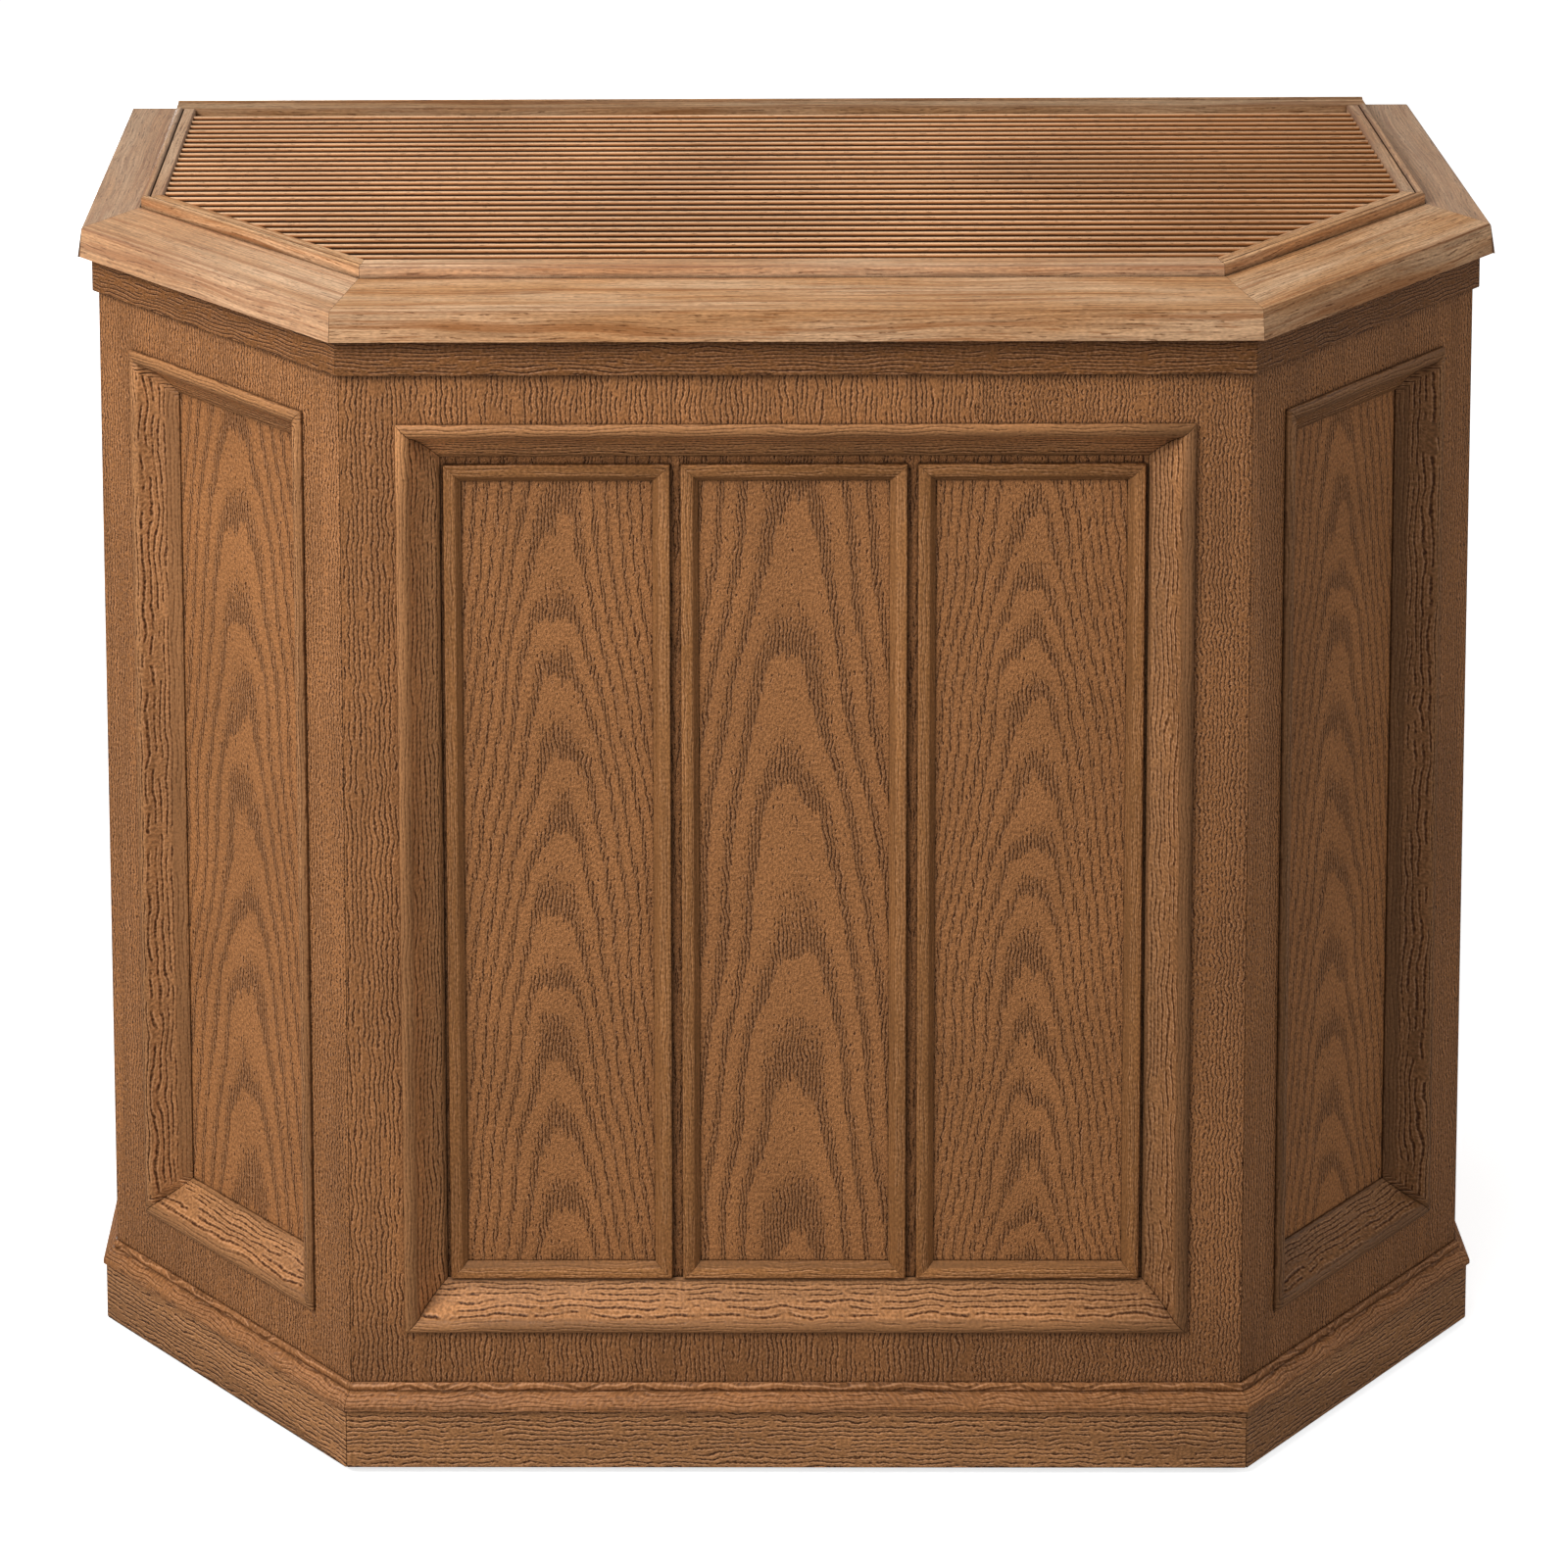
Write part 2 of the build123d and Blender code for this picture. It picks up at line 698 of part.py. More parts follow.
wick_width = 360.0
wick_height = 338.0
wick_depth = 26.0
wick_y = middle_y + 97.0
wick_rack_wall = 5.0
wick_base = tray_top + tub_wall + 0.3
rack_depth = wick_depth + 5.0
with BuildPart() as wick_frame:
    with BuildSketch(Plane.XZ.offset(-wick_y - rack_depth / 2)):
        with Locations((0, wick_base)):
            Rectangle(
                wick_width + 2 * wick_rack_wall,
                wick_height + 2 * wick_rack_wall,
                align=(Align.CENTER, Align.MIN),
            )
        with Locations((0, wick_base + wick_rack_wall)):
            Rectangle(wick_width, wick_height, align=(Align.CENTER, Align.MIN), mode=Mode.SUBTRACT)
    extrude(amount=rack_depth)
    for bar_y in (wick_y - rack_depth / 2 + 1, wick_y + rack_depth / 2 - 1):
        for bar_level in (0.2, 0.5, 0.8):
            with Locations((0, bar_y, wick_base + wick_rack_wall + bar_level * wick_height)):
                Box(wick_width + wick_rack_wall, 2, 5)
finish(wick_frame.part, "wick_frame")

with BuildPart() as wick:
    with Locations((0, wick_y, wick_base + wick_rack_wall + wick_height / 2)):
        Box(wick_width - 0.6, wick_depth, wick_height - 0.6)
finish(wick.part, "wick")


# ---- air side -------------------------------------------------------------------------
fill_place = (-190.0, middle_y)
fill_width = 100.0
door_pin_radius = 2.0
door_hinge = (-246.0, deck_top + 5.0)
ear_thickness = 6.0
door_half = fill_width / 2 + 4
hinge_plane = Plane(
    origin=(door_hinge[0], middle_y, door_hinge[1]),
    x_dir=(1, 0, 0),
    z_dir=(0, 1, 0),
)
ring_drop = 32.0
cord_radius = 3.5
cord_place = (275.0, middle_y + 20.0)
deck_offset = -board - field_panel_thickness - 0.6
with BuildPart() as fan_deck:
    with BuildSketch(Plane.XY.offset(deck_level)):
        with BuildLine():
            outline = plan_outline(deck_offset, deck_offset, tray_offset, back_inner_y - seam)
            Polyline(*outline, close=True)
        make_face()
    extrude(amount=deck_thickness)
    with BuildSketch(Plane.XY.offset(deck_level - ring_drop)):
        with Locations((0, middle_y)):
            Circle(ring_radius + ring_wall)
    extrude(amount=guard_level - deck_level + ring_drop)
    with BuildSketch(Plane.XY.offset(deck_level - ring_drop)):
        with Locations((0, middle_y)):
            Circle(ring_radius)
    extrude(amount=guard_level - deck_level + ring_drop, mode=Mode.SUBTRACT)
    with BuildSketch(Plane.XY.offset(deck_level)):
        with Locations(fill_place):
            RectangleRounded(fill_width, fill_width, 8)
        with Locations(*deck_screw_places):
            Circle(screw_radius)
        with Locations(cord_place):
            Circle(cord_radius + 0.3)
    extrude(amount=deck_thickness, mode=Mode.SUBTRACT)
    with BuildSketch(Plane.XY.offset(deck_top)):
        for side in (-1, 1):
            with Locations((door_hinge[0], middle_y + side * (door_half + 1 + ear_thickness / 2))):
                Rectangle(10, ear_thickness)
    extrude(amount=10)
    with BuildSketch(hinge_plane):
        Circle(door_pin_radius + running_gap)
    extrude(amount=door_half + 10, both=True, mode=Mode.SUBTRACT)
finish(fan_deck.part, "fan_deck")

with BuildPart() as fill_door:
    with BuildSketch(hinge_plane):
        Circle(4)
    extrude(amount=door_half, both=True)
    with BuildSketch(Plane.XY.offset(deck_top + 1)):
        with Locations(((door_hinge[0] + fill_place[0] + door_half) / 2, middle_y)):
            Rectangle(fill_place[0] + door_half - door_hinge[0], 2 * door_half)
    extrude(amount=3)
    with BuildSketch(Plane.XY.offset(deck_top + 4)):
        with Locations((fill_place[0] + door_half - 6, middle_y)):
            SlotOverall(34, 7)
    extrude(amount=5)
    with BuildSketch(hinge_plane):
        Circle(door_pin_radius)
    extrude(amount=door_half + ear_thickness, both=True)
finish(fill_door.part, "fill_door")

guard_height = 4.0
with BuildPart() as fan_guard:
    with BuildSketch(Plane.XY.offset(guard_level + seam)):
        with Locations((0, middle_y)):
            Circle(ring_radius + ring_wall)
            Circle(ring_radius - 3, mode=Mode.SUBTRACT)
            for radius in (88, 72, 56):
                Circle(radius)
                Circle(radius - 3, mode=Mode.SUBTRACT)
            Circle(motor_radius + 3)
        with Locations((0, middle_y)):
            with PolarLocations(0, 6):
                Rectangle(2 * ring_radius, 3.5)
    extrude(amount=guard_height)
finish(fan_guard.part, "fan_guard")

motor_bottom = guard_level - motor_height
with BuildPart() as motor:
    with BuildSketch(Plane.XY.offset(motor_bottom)):
        with Locations((0, middle_y)):
            Circle(motor_radius)
    extrude(amount=motor_height)
    fillet(motor.edges().group_by(Axis.Z)[0], radius=8)
    with BuildSketch(Plane.XY.offset(motor_bottom)):
        with Locations((0, middle_y)):
            Circle(shaft_radius + running_gap)
    extrude(amount=26, mode=Mode.SUBTRACT)
finish(motor.part, "motor")

shaft_bottom = deck_level - 28
with BuildPart() as motor_shaft:
    with BuildSketch(Plane.XY.offset(shaft_bottom)):
        with Locations((0, middle_y)):
            Circle(shaft_radius)
    extrude(amount=motor_bottom + 25 - shaft_bottom)
finish(motor_shaft.part, "motor_shaft")

hub_radius = 19.0
hub_bottom = deck_level - 25
hub_height = 24.0
blade_count = 5
blade_pitch = radians(30)
blade_thickness = 2.0
blade_tip_half = 34.0
blade_tip_x = fan_radius - 11.0
blade_tip_bulge = 9.0
blade_root_half = 9.0
blade_root_x = hub_radius - 4.0
with BuildPart() as fan_blade:
    with BuildSketch(Plane.XY.offset(hub_bottom)):
        with Locations((0, middle_y)):
            Circle(hub_radius)
    extrude(amount=hub_height)
    for i in range(blade_count):
        spin = radians(i * 360 / blade_count)
        radial = Vector(cos(spin), sin(spin), 0)
        around = Vector(-sin(spin), cos(spin), 0)
        tilted = Vector(0, 0, 1) * cos(blade_pitch) - around * sin(blade_pitch)
        blade_centre = Vector(0, middle_y, hub_bottom + hub_height / 2)
        blade_plane = Plane(origin=blade_centre, x_dir=radial, z_dir=tilted)
        with BuildSketch(blade_plane.offset(-blade_thickness / 2)):
            with BuildLine():
                Polyline(
                    (blade_tip_x, blade_tip_half),
                    (blade_root_x, blade_root_half),
                    (blade_root_x, -blade_root_half),
                    (blade_tip_x, -blade_tip_half),
                )
                ThreePointArc(
                    (blade_tip_x, -blade_tip_half),
                    (blade_tip_x + blade_tip_bulge, 0),
                    (blade_tip_x, blade_tip_half),
                )
            make_face()
        extrude(amount=blade_thickness)
    with BuildSketch(Plane.XY.offset(hub_bottom)):
        with Locations((0, middle_y)):
            Circle(shaft_radius)
    extrude(amount=hub_height, mode=Mode.SUBTRACT)
finish(fan_blade.part, "fan_blade")


# ---- controls -------------------------------------------------------------------------
panel_centre = (220.0, middle_y)
panel_length = 140.0
panel_width = 110.0
panel_height = 37.0
panel_top = deck_top + panel_height
knob_places = {
    "speed_knob": (panel_centre[0] - 34, middle_y - 8),
    "humidistat_knob": (panel_centre[0] + 34, middle_y - 8),
}
lamp_place = (panel_centre[0], middle_y + 34)
lamp_radius = 5.0
spindle_radius = 3.0
with BuildPart() as control_panel:
    with BuildSketch(Plane.XY.offset(deck_top)):
        with Locations(panel_centre):
            RectangleRounded(panel_length, panel_width, 12)
    extrude(amount=panel_height)
    fillet(control_panel.edges().group_by(Axis.Z)[-1], radius=3)
    with BuildSketch(Plane.XY.offset(deck_top)):
        with Locations(panel_centre):
            RectangleRounded(panel_length - 6, panel_width - 6, 9)
    extrude(amount=panel_height - 4, mode=Mode.SUBTRACT)
    with BuildSketch(Plane.XY.offset(deck_top)):
        with Locations(*knob_places.values()):
            Circle(spindle_radius + running_gap)
        with Locations(lamp_place):
            Circle(lamp_radius)
    extrude(amount=panel_height, mode=Mode.SUBTRACT)
finish(control_panel.part, "control_panel")

knob_radius = 18.0
knob_height = 16.0
knob_gap = 0.5
for name, place in knob_places.items():
    with BuildPart() as knob:
        with BuildSketch(Plane.XY.offset(panel_top + knob_gap)):
            with Locations(place):
                Circle(knob_radius)
        extrude(amount=knob_height, taper=6)
        with BuildSketch(Plane.XY.offset(panel_top + knob_gap)):
            with Locations(place):
                with PolarLocations(knob_radius, 24):
                    Circle(1.0)
        extrude(amount=knob_height - 3, mode=Mode.SUBTRACT)
        with BuildSketch(Plane.XY.offset(panel_top + knob_gap + knob_height)):
            with Locations((place[0], place[1] + knob_radius / 2)):
                Rectangle(2.4, knob_radius * 0.7)
        extrude(amount=1.5)
        with BuildSketch(Plane.XY.offset(panel_top - 14)):
            with Locations(place):
                Circle(spindle_radius)
        extrude(amount=14 + knob_gap + 1)
    finish(knob.part, name)

with BuildPart() as refill_lamp:
    with BuildSketch(Plane.XY.offset(panel_top - 8)):
        with Locations(lamp_place):
            Circle(lamp_radius)
    extrude(amount=10)
    fillet(refill_lamp.edges().group_by(Axis.Z)[-1], radius=1.8)
finish(refill_lamp.part, "refill_lamp")

cord_top = deck_top + 20
cord_bend = 20.0
cord_bottom = 110.0
plug_level = 230.0
plug_length = 28.0
prong_spacing = 12.7
prong_length = 16.0
with BuildPart() as power_cord:
    with BuildLine() as cord_path:
        Line((*cord_place, cord_top), (*cord_place, cord_bottom))
        ThreePointArc(
            (*cord_place, cord_bottom),
            (cord_place[0], cord_place[1] + cord_bend, cord_bottom - cord_bend),
            (cord_place[0], cord_place[1] + 2 * cord_bend, cord_bottom),
        )
        Line(
            (cord_place[0], cord_place[1] + 2 * cord_bend, cord_bottom),
            (cord_place[0], cord_place[1] + 2 * cord_bend, plug_level),
        )
    with BuildSketch(Plane.XY.offset(cord_top)):
        with Locations(cord_place):
            Circle(cord_radius)
    sweep(path=cord_path.line)
    with BuildSketch(Plane.XY.offset(plug_level)):
        with Locations((cord_place[0], cord_place[1] + 2 * cord_bend)):
            RectangleRounded(24, 16, 6)
    extrude(amount=plug_length)
    with BuildSketch(Plane.XY.offset(plug_level + plug_length)):
        with Locations((cord_place[0], cord_place[1] + 2 * cord_bend)):
            with GridLocations(prong_spacing, 1, 2, 1):
                Rectangle(1.5, 6.3)
    extrude(amount=prong_length)
finish(power_cord.part, "power_cord")


# ---- screws ---------------------------------------------------------------------------
with BuildPart() as screws:
    with BuildSketch(Plane.XY.offset(deck_top)):
        with Locations(*deck_screw_places):
            Circle(screw_radius)
    extrude(amount=-deck_screw_length)
    with BuildSketch(Plane.XY.offset(deck_top)):
        with Locations(*deck_screw_places):
            Circle(screw_head_radius)
    extrude(amount=2.4)
    for x, z in back_screw_places:
        screw_axis = Plane(origin=(-x, rear_y, z), x_dir=(-1, 0, 0), z_dir=(0, 1, 0))
        with BuildSketch(screw_axis):
            Circle(screw_head_radius)
        extrude(amount=-(screw_head_radius - screw_radius), taper=45)
        with BuildSketch(screw_axis.offset(-1)):
            Circle(screw_radius)
        extrude(amount=-back_thickness - 6)
finish(screws.part, "screws")


# ---- casters --------------------------------------------------------------------------
axle_radius = 2.5
fork_gap = 1.0
cheek = 3.0
cheek_foot = 5.0
cheek_root = 8.0
yoke_radius = 13.0
yoke_top = plinth_top - 0.3
yoke_cap = 8.5
for name, (x, y) in caster_places.items():
    axle_y = y + caster_trail
    axle_plane = Plane(origin=(x, axle_y, wheel_radius), x_dir=(0, 1, 0), z_dir=(1, 0, 0))
    with BuildPart() as caster_yoke:
        with BuildSketch(Plane.XY.offset(yoke_top - yoke_cap)):
            with Locations((x, y)):
                Circle(yoke_radius)
        extrude(amount=yoke_cap)
        for side in (-1, 1):
            cheek_inner = x + side * (wheel_width / 2 + fork_gap)
            with BuildSketch(Plane(origin=(cheek_inner, 0, 0), x_dir=(0, side, 0), z_dir=(side, 0, 0))):
                with Locations((side * axle_y, wheel_radius)):
                    Circle(cheek_foot)
                with BuildLine():
                    Polyline(
                        (side * (axle_y - cheek_foot), wheel_radius),
                        (side * (axle_y + cheek_foot), wheel_radius),
                        (side * (y + cheek_root), yoke_top - yoke_cap + 1),
                        (side * (y - cheek_root), yoke_top - yoke_cap + 1),
                        close=True,
                    )
                make_face()
            extrude(amount=cheek)
        with BuildSketch(axle_plane):
            Circle(axle_radius)
        extrude(amount=wheel_width / 2 + fork_gap + cheek, both=True)
        with BuildSketch(Plane.XY.offset(yoke_top)):
            with Locations((x, y)):
                Circle(stem_radius)
        extrude(amount=stem_length)
    finish(caster_yoke.part, f"caster_yoke_{name}")

    with BuildPart() as caster_wheel:
        with BuildSketch(axle_plane):
            Circle(wheel_radius)
        extrude(amount=wheel_width / 2, both=True)
        fillet(caster_wheel.edges().filter_by(GeomType.CIRCLE), radius=wheel_rounding)
        with BuildSketch(axle_plane):
            Circle(axle_radius + running_gap)
        extrude(amount=wheel_width / 2, both=True, mode=Mode.SUBTRACT)
    finish(caster_wheel.part, f"caster_wheel_{name}")
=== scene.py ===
import math

import bmesh
import bpy
from mathutils import Matrix, Vector


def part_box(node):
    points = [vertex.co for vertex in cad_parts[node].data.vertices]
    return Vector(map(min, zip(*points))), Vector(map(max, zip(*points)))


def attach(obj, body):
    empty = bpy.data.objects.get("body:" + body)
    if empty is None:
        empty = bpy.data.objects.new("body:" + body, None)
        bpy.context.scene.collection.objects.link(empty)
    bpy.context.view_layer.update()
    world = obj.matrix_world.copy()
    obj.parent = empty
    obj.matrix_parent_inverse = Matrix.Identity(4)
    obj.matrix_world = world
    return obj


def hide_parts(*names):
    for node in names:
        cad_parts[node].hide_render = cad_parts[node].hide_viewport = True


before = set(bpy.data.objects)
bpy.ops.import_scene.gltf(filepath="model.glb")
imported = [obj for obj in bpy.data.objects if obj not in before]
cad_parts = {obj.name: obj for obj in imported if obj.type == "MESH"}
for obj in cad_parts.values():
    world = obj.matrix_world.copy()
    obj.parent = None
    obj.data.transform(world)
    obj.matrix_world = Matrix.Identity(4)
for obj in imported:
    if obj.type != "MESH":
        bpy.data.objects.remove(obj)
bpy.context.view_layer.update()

FRONT_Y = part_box("front_board")[0].y * 1000

# ---------------------------------------------------------------- colours


def srgb(red, green, blue):
    """A display colour, 0 to 255, as the linear colour a material takes."""
    def linear(level):
        level = level / 255
        return level / 12.92 if level <= 0.04045 else ((level + 0.055) / 1.055) ** 2.4
    return (linear(red), linear(green), linear(blue), 1.0)


OAK = srgb(164, 110, 66)
OAK_PORE = srgb(74, 41, 19)
FIELD = srgb(164, 110, 66)
FIELD_PORE = srgb(70, 38, 17)
MOULD = srgb(172, 120, 76)
TOP = srgb(203, 152, 105)
TOP_STREAK = srgb(152, 90, 42)
TOP_PALE = srgb(222, 181, 141)
TOP_EDGE = srgb(146, 86, 38)
TOP_ARRIS = srgb(104, 60, 28)
# Grey wash for the painted sheen on the top boards.
TOP_SHEEN_GREY = srgb(172, 150, 134)
SLAT = srgb(178, 112, 62)
# Slat colours: a painted highlight for the ridges, and a dark brown for the painted shade in the gaps and
# for the pores.
SLAT_RIDGE_HIGHLIGHT = srgb(232, 186, 144)
SLAT_SHADE_AND_PORE = srgb(56, 28, 12)
SLAT_UNDER = srgb(126, 84, 50)
SLAT_WARM = srgb(150, 92, 44)
# Pale colour of the painted highlight along the edges of the pores.
RIM_HIGHLIGHT = srgb(202, 160, 128)
BEAD = srgb(158, 107, 62)
CAP = srgb(156, 104, 62)
APRON = srgb(134, 87, 48)
KNOB = srgb(40, 38, 37)
LAMP_RED = srgb(170, 30, 22)
PAPER = srgb(214, 204, 176)
PAPER_WET = srgb(160, 132, 92)
DUST = srgb(150, 142, 130)
METAL_CORNER_DARK = srgb(40, 38, 36)
MOTOR_GREY = srgb(150, 152, 154)
WIRE = srgb(172, 172, 170)
STEEL = srgb(188, 188, 186)
FIBRE = srgb(116, 82, 54)
FIBRE_PALE = srgb(150, 112, 78)
MARK_WHITE = srgb(226, 224, 216)
# Glazing colours that also paint the shade in corners and under mouldings.
GLAZE_AND_SHADE = srgb(58, 35, 20)
GLAZE_AND_SHADE_DEEP = srgb(22, 15, 10)
SHEEN = 0.22
RELIEF = 0.44
PORE_WEIGHT = 0.98
# How much the painted highlight brightens the edges of the pores.
EDGE_HIGHLIGHT = 0.50

# Where the colour changes from one strength to the next: x or z, in millimetres; towards the foot of the
# boards it is painted shade.
BOARD_FOOT_SHADE = (55.0, 95.0)
BOARD_RIGHT = (150.0, 215.0)
STRIP_LEFT = (-172.0, -150.0)
STRIP_RIGHT = (120.0, 240.0)
STRIP_TOP = (490.0, 525.0)

# ---------------------------------------------------------------- shader arithmetic


class Value:
    """One socket of a material's node tree, with the usual arithmetic."""

    def __init__(self, graph, socket):
        self.graph = graph
        self.socket = socket

    def __add__(self, other):
        return self.graph.math("ADD", self, other)

    def __radd__(self, other):
        return self.graph.math("ADD", other, self)

    def __sub__(self, other):
        return self.graph.math("SUBTRACT", self, other)

    def __rsub__(self, other):
        return self.graph.math("SUBTRACT", other, self)

    def __mul__(self, other):
        return self.graph.math("MULTIPLY", self, other)

    def __rmul__(self, other):
        return self.graph.math("MULTIPLY", other, self)

    def __truediv__(self, other):
        return self.graph.math("DIVIDE", self, other)

    def __neg__(self):
        return self.graph.math("MULTIPLY", self, -1.0)

    def __abs__(self):
        return self.graph.math("ABSOLUTE", self)


class Graph:
    """A material's node tree. x, y and z are the rest position in millimetres."""

    def __init__(self, name):
        self.material = bpy.data.materials.new(name)
        self.material.use_nodes = True
        self.nodes = self.material.node_tree.nodes
        self.links = self.material.node_tree.links
        self.nodes.clear()
        coordinates = self.nodes.new("ShaderNodeTexCoord")
        parts = self.nodes.new("ShaderNodeSeparateXYZ")
        self.links.new(coordinates.outputs["Object"], parts.inputs[0])
        self.x, self.y, self.z = (Value(self, parts.outputs[i]) * 1000.0 for i in range(3))
        normal = self.nodes.new("ShaderNodeSeparateXYZ")
        self.links.new(coordinates.outputs["Normal"], normal.inputs[0])
        self.normal_z = Value(self, normal.outputs[2])

    def put(self, socket, value):
        if isinstance(value, Value):
            self.links.new(value.socket, socket)
        elif isinstance(value, tuple):
            socket.default_value = value[:len(socket.default_value)]
        elif value is not None:
            socket.default_value = value

    def math(self, operation, a, b=None):
        node = self.nodes.new("ShaderNodeMath")
        node.operation = operation
        for socket, value in zip(node.inputs, (a, b)):
            self.put(socket, value)
        return Value(self, node.outputs[0])

    def fraction(self, value):
        return self.math("FRACT", value)

    def smaller(self, a, b):
        """1 where a is less than b, else 0."""
        return self.math("LESS_THAN", a, b)

    def ease(self, value, low, high, start=0.0, end=1.0):
        """A smooth step: start below low, end above high."""
        node = self.nodes.new("ShaderNodeMapRange")
        node.interpolation_type = "SMOOTHSTEP"
        for socket, item in zip(node.inputs, (value, low, high, start, end)):
            self.put(socket, item)
        return Value(self, node.outputs[0])

    def choose(self, factor, a, b):
        """a where factor is 0, b where it is 1, for plain numbers."""
        node = self.nodes.new("ShaderNodeMix")
        node.data_type = "FLOAT"
        self.put(node.inputs[0], factor)
        self.put(node.inputs[2], a)
        self.put(node.inputs[3], b)
        return Value(self, node.outputs[0])

    def blend(self, factor, a, b):
        """Colour a where factor is 0, colour b where it is 1."""
        node = self.nodes.new("ShaderNodeMix")
        node.data_type = "RGBA"
        self.put(node.inputs[0], factor)
        self.put(node.inputs[6], a)
        self.put(node.inputs[7], b)
        return Value(self, node.outputs[2])

    def shade(self, colour, factor):
        """The colour times a plain number."""
        node = self.nodes.new("ShaderNodeVectorMath")
        node.operation = "SCALE"
        self.put(node.inputs[0], colour)
        self.put(node.inputs["Scale"], factor)
        return Value(self, node.outputs[0])

    def vector(self, x, y, z=0.0):
        node = self.nodes.new("ShaderNodeCombineXYZ")
        for socket, value in zip(node.inputs, (x, y, z)):
            self.put(socket, value)
        return Value(self, node.outputs[0])

    def noise(self, vector, detail=0.0, roughness=0.5):
        """Smooth noise about 0.5, one feature per unit of the vector."""
        node = self.nodes.new("ShaderNodeTexNoise")
        self.put(node.inputs["Vector"], vector)
        self.put(node.inputs["Scale"], 1.0)
        self.put(node.inputs["Detail"], detail)
        self.put(node.inputs["Roughness"], roughness)
        return Value(self, node.outputs[0])

    def cells(self, vector):
        """Distance to the nearest of scattered points, one point per unit."""
        node = self.nodes.new("ShaderNodeTexVoronoi")
        node.feature = "F1"
        self.put(node.inputs["Vector"], vector)
        self.put(node.inputs["Scale"], 1.0)
        return Value(self, node.outputs["Distance"])

    def openness(self, reach):
        """1 on open faces, falling to 0 deep in corners; reach is in millimetres."""
        node = self.nodes.new("ShaderNodeAmbientOcclusion")
        node.samples = 6
        self.put(node.inputs["Distance"], reach / 1000)
        return Value(self, node.outputs["AO"])

    def surface(self, colour, roughness, height=None, specular=0.35, metallic=0.0, emission=None):
        """Finishes the material. height is in millimetres and becomes bump."""
        shader = self.nodes.new("ShaderNodeBsdfPrincipled")
        self.put(shader.inputs["Base Color"], colour)
        self.put(shader.inputs["Roughness"], roughness)
        self.put(shader.inputs["Metallic"], metallic)
        self.put(shader.inputs["Specular IOR Level"], specular)
        if emission is not None:
            self.put(shader.inputs["Emission Color"], emission)
            self.put(shader.inputs["Emission Strength"], 1.0)
        if height is not None:
            bump = self.nodes.new("ShaderNodeBump")
            self.put(bump.inputs["Strength"], 1.0)
            self.put(bump.inputs["Distance"], 0.001)
            self.put(bump.inputs["Height"], height)
            self.links.new(bump.outputs["Normal"], shader.inputs["Normal"])
        output = self.nodes.new("ShaderNodeOutputMaterial")
        self.links.new(shader.outputs[0], output.inputs["Surface"])
        return self.material


# ---------------------------------------------------------------- oak


def face_axes(graph, degrees):
    """Distance along and out of a face turned by degrees about the upright axis."""
    turn = math.radians(degrees)
    along = graph.x * math.cos(turn) + graph.y * math.sin(turn)
    out = graph.x * math.sin(turn) - graph.y * math.cos(turn)
    return along, out


def pores(graph, across, along, pitch, length, seed, absent=0.45, wiggle=0.9, wave=2.4):
    """Wavy embossed lines that run along the grain, broken into dashes, over a fine etch.

    Gives how dark a pore is, how bright the painted highlight along its edge is, and the height of the
    relief.
    """
    sway = graph.noise(graph.vector(across / 11.0, along / (wave * 6.0), seed), 1.0) - 0.5
    kink = graph.noise(graph.vector(across / (pitch * 1.3), along / wave, seed + 11.0), 2.0, 0.65) - 0.5
    phase = (across + sway * 5.0 + kink * (2.0 * wiggle)) / pitch + seed * 0.37
    cell = graph.math("FLOOR", phase)
    side = graph.fraction(phase) - 0.5
    dash = graph.noise(graph.vector(cell * 7.31, along / length, seed + 23.0), 2.0, 0.6) - absent
    present = graph.ease(dash, -0.04, 0.06)
    core = graph.ease(abs(side), 0.07, 0.21, 1.0, 0.0) * present
    # A painted highlight along each pore, a little stronger on one side.
    edge = graph.ease(abs(side - 0.04), 0.14, 0.24) * graph.ease(abs(side), 0.28, 0.44, 1.0, 0.0)
    edge = edge * present
    groove = graph.ease(abs(side), 0.04, 0.32, 1.0, 0.0) * present
    etched = graph.noise(graph.vector(across / 1.0, along / 1.7, seed + 31.0), 1.0)
    speck = graph.ease(etched, 0.30, 0.70, -1.0, 1.0)
    return core * (speck * -0.30 + 0.85), edge + speck * 0.56, etched * 1.2 - groove


def pored_and_highlit(graph, colour, dark, core, edge, weight=PORE_WEIGHT):
    """Wood colour with dark pores and a painted highlight along their edges."""
    colour = graph.shade(colour, edge * EDGE_HIGHLIGHT + 1.0)
    colour = graph.blend(graph.ease(edge, 0.3, 1.3, 0.0, 0.32), colour, RIM_HIGHLIGHT)
    return graph.blend(core * weight, colour, dark)


def glazed_and_shaded(graph, colour, reach=13.0, weight=0.75):
    """Darkens corners and the foot of mouldings: partly the glazing of the finish, partly painted shade,
    deepest in the tightest corners.
    """
    openness = graph.openness(reach)
    colour = graph.blend(graph.ease(openness, 0.35, 0.9, weight, 0.0), colour, GLAZE_AND_SHADE)
    return graph.blend(graph.ease(openness, 0.12, 0.52, weight, 0.0), colour, GLAZE_AND_SHADE_DEEP)


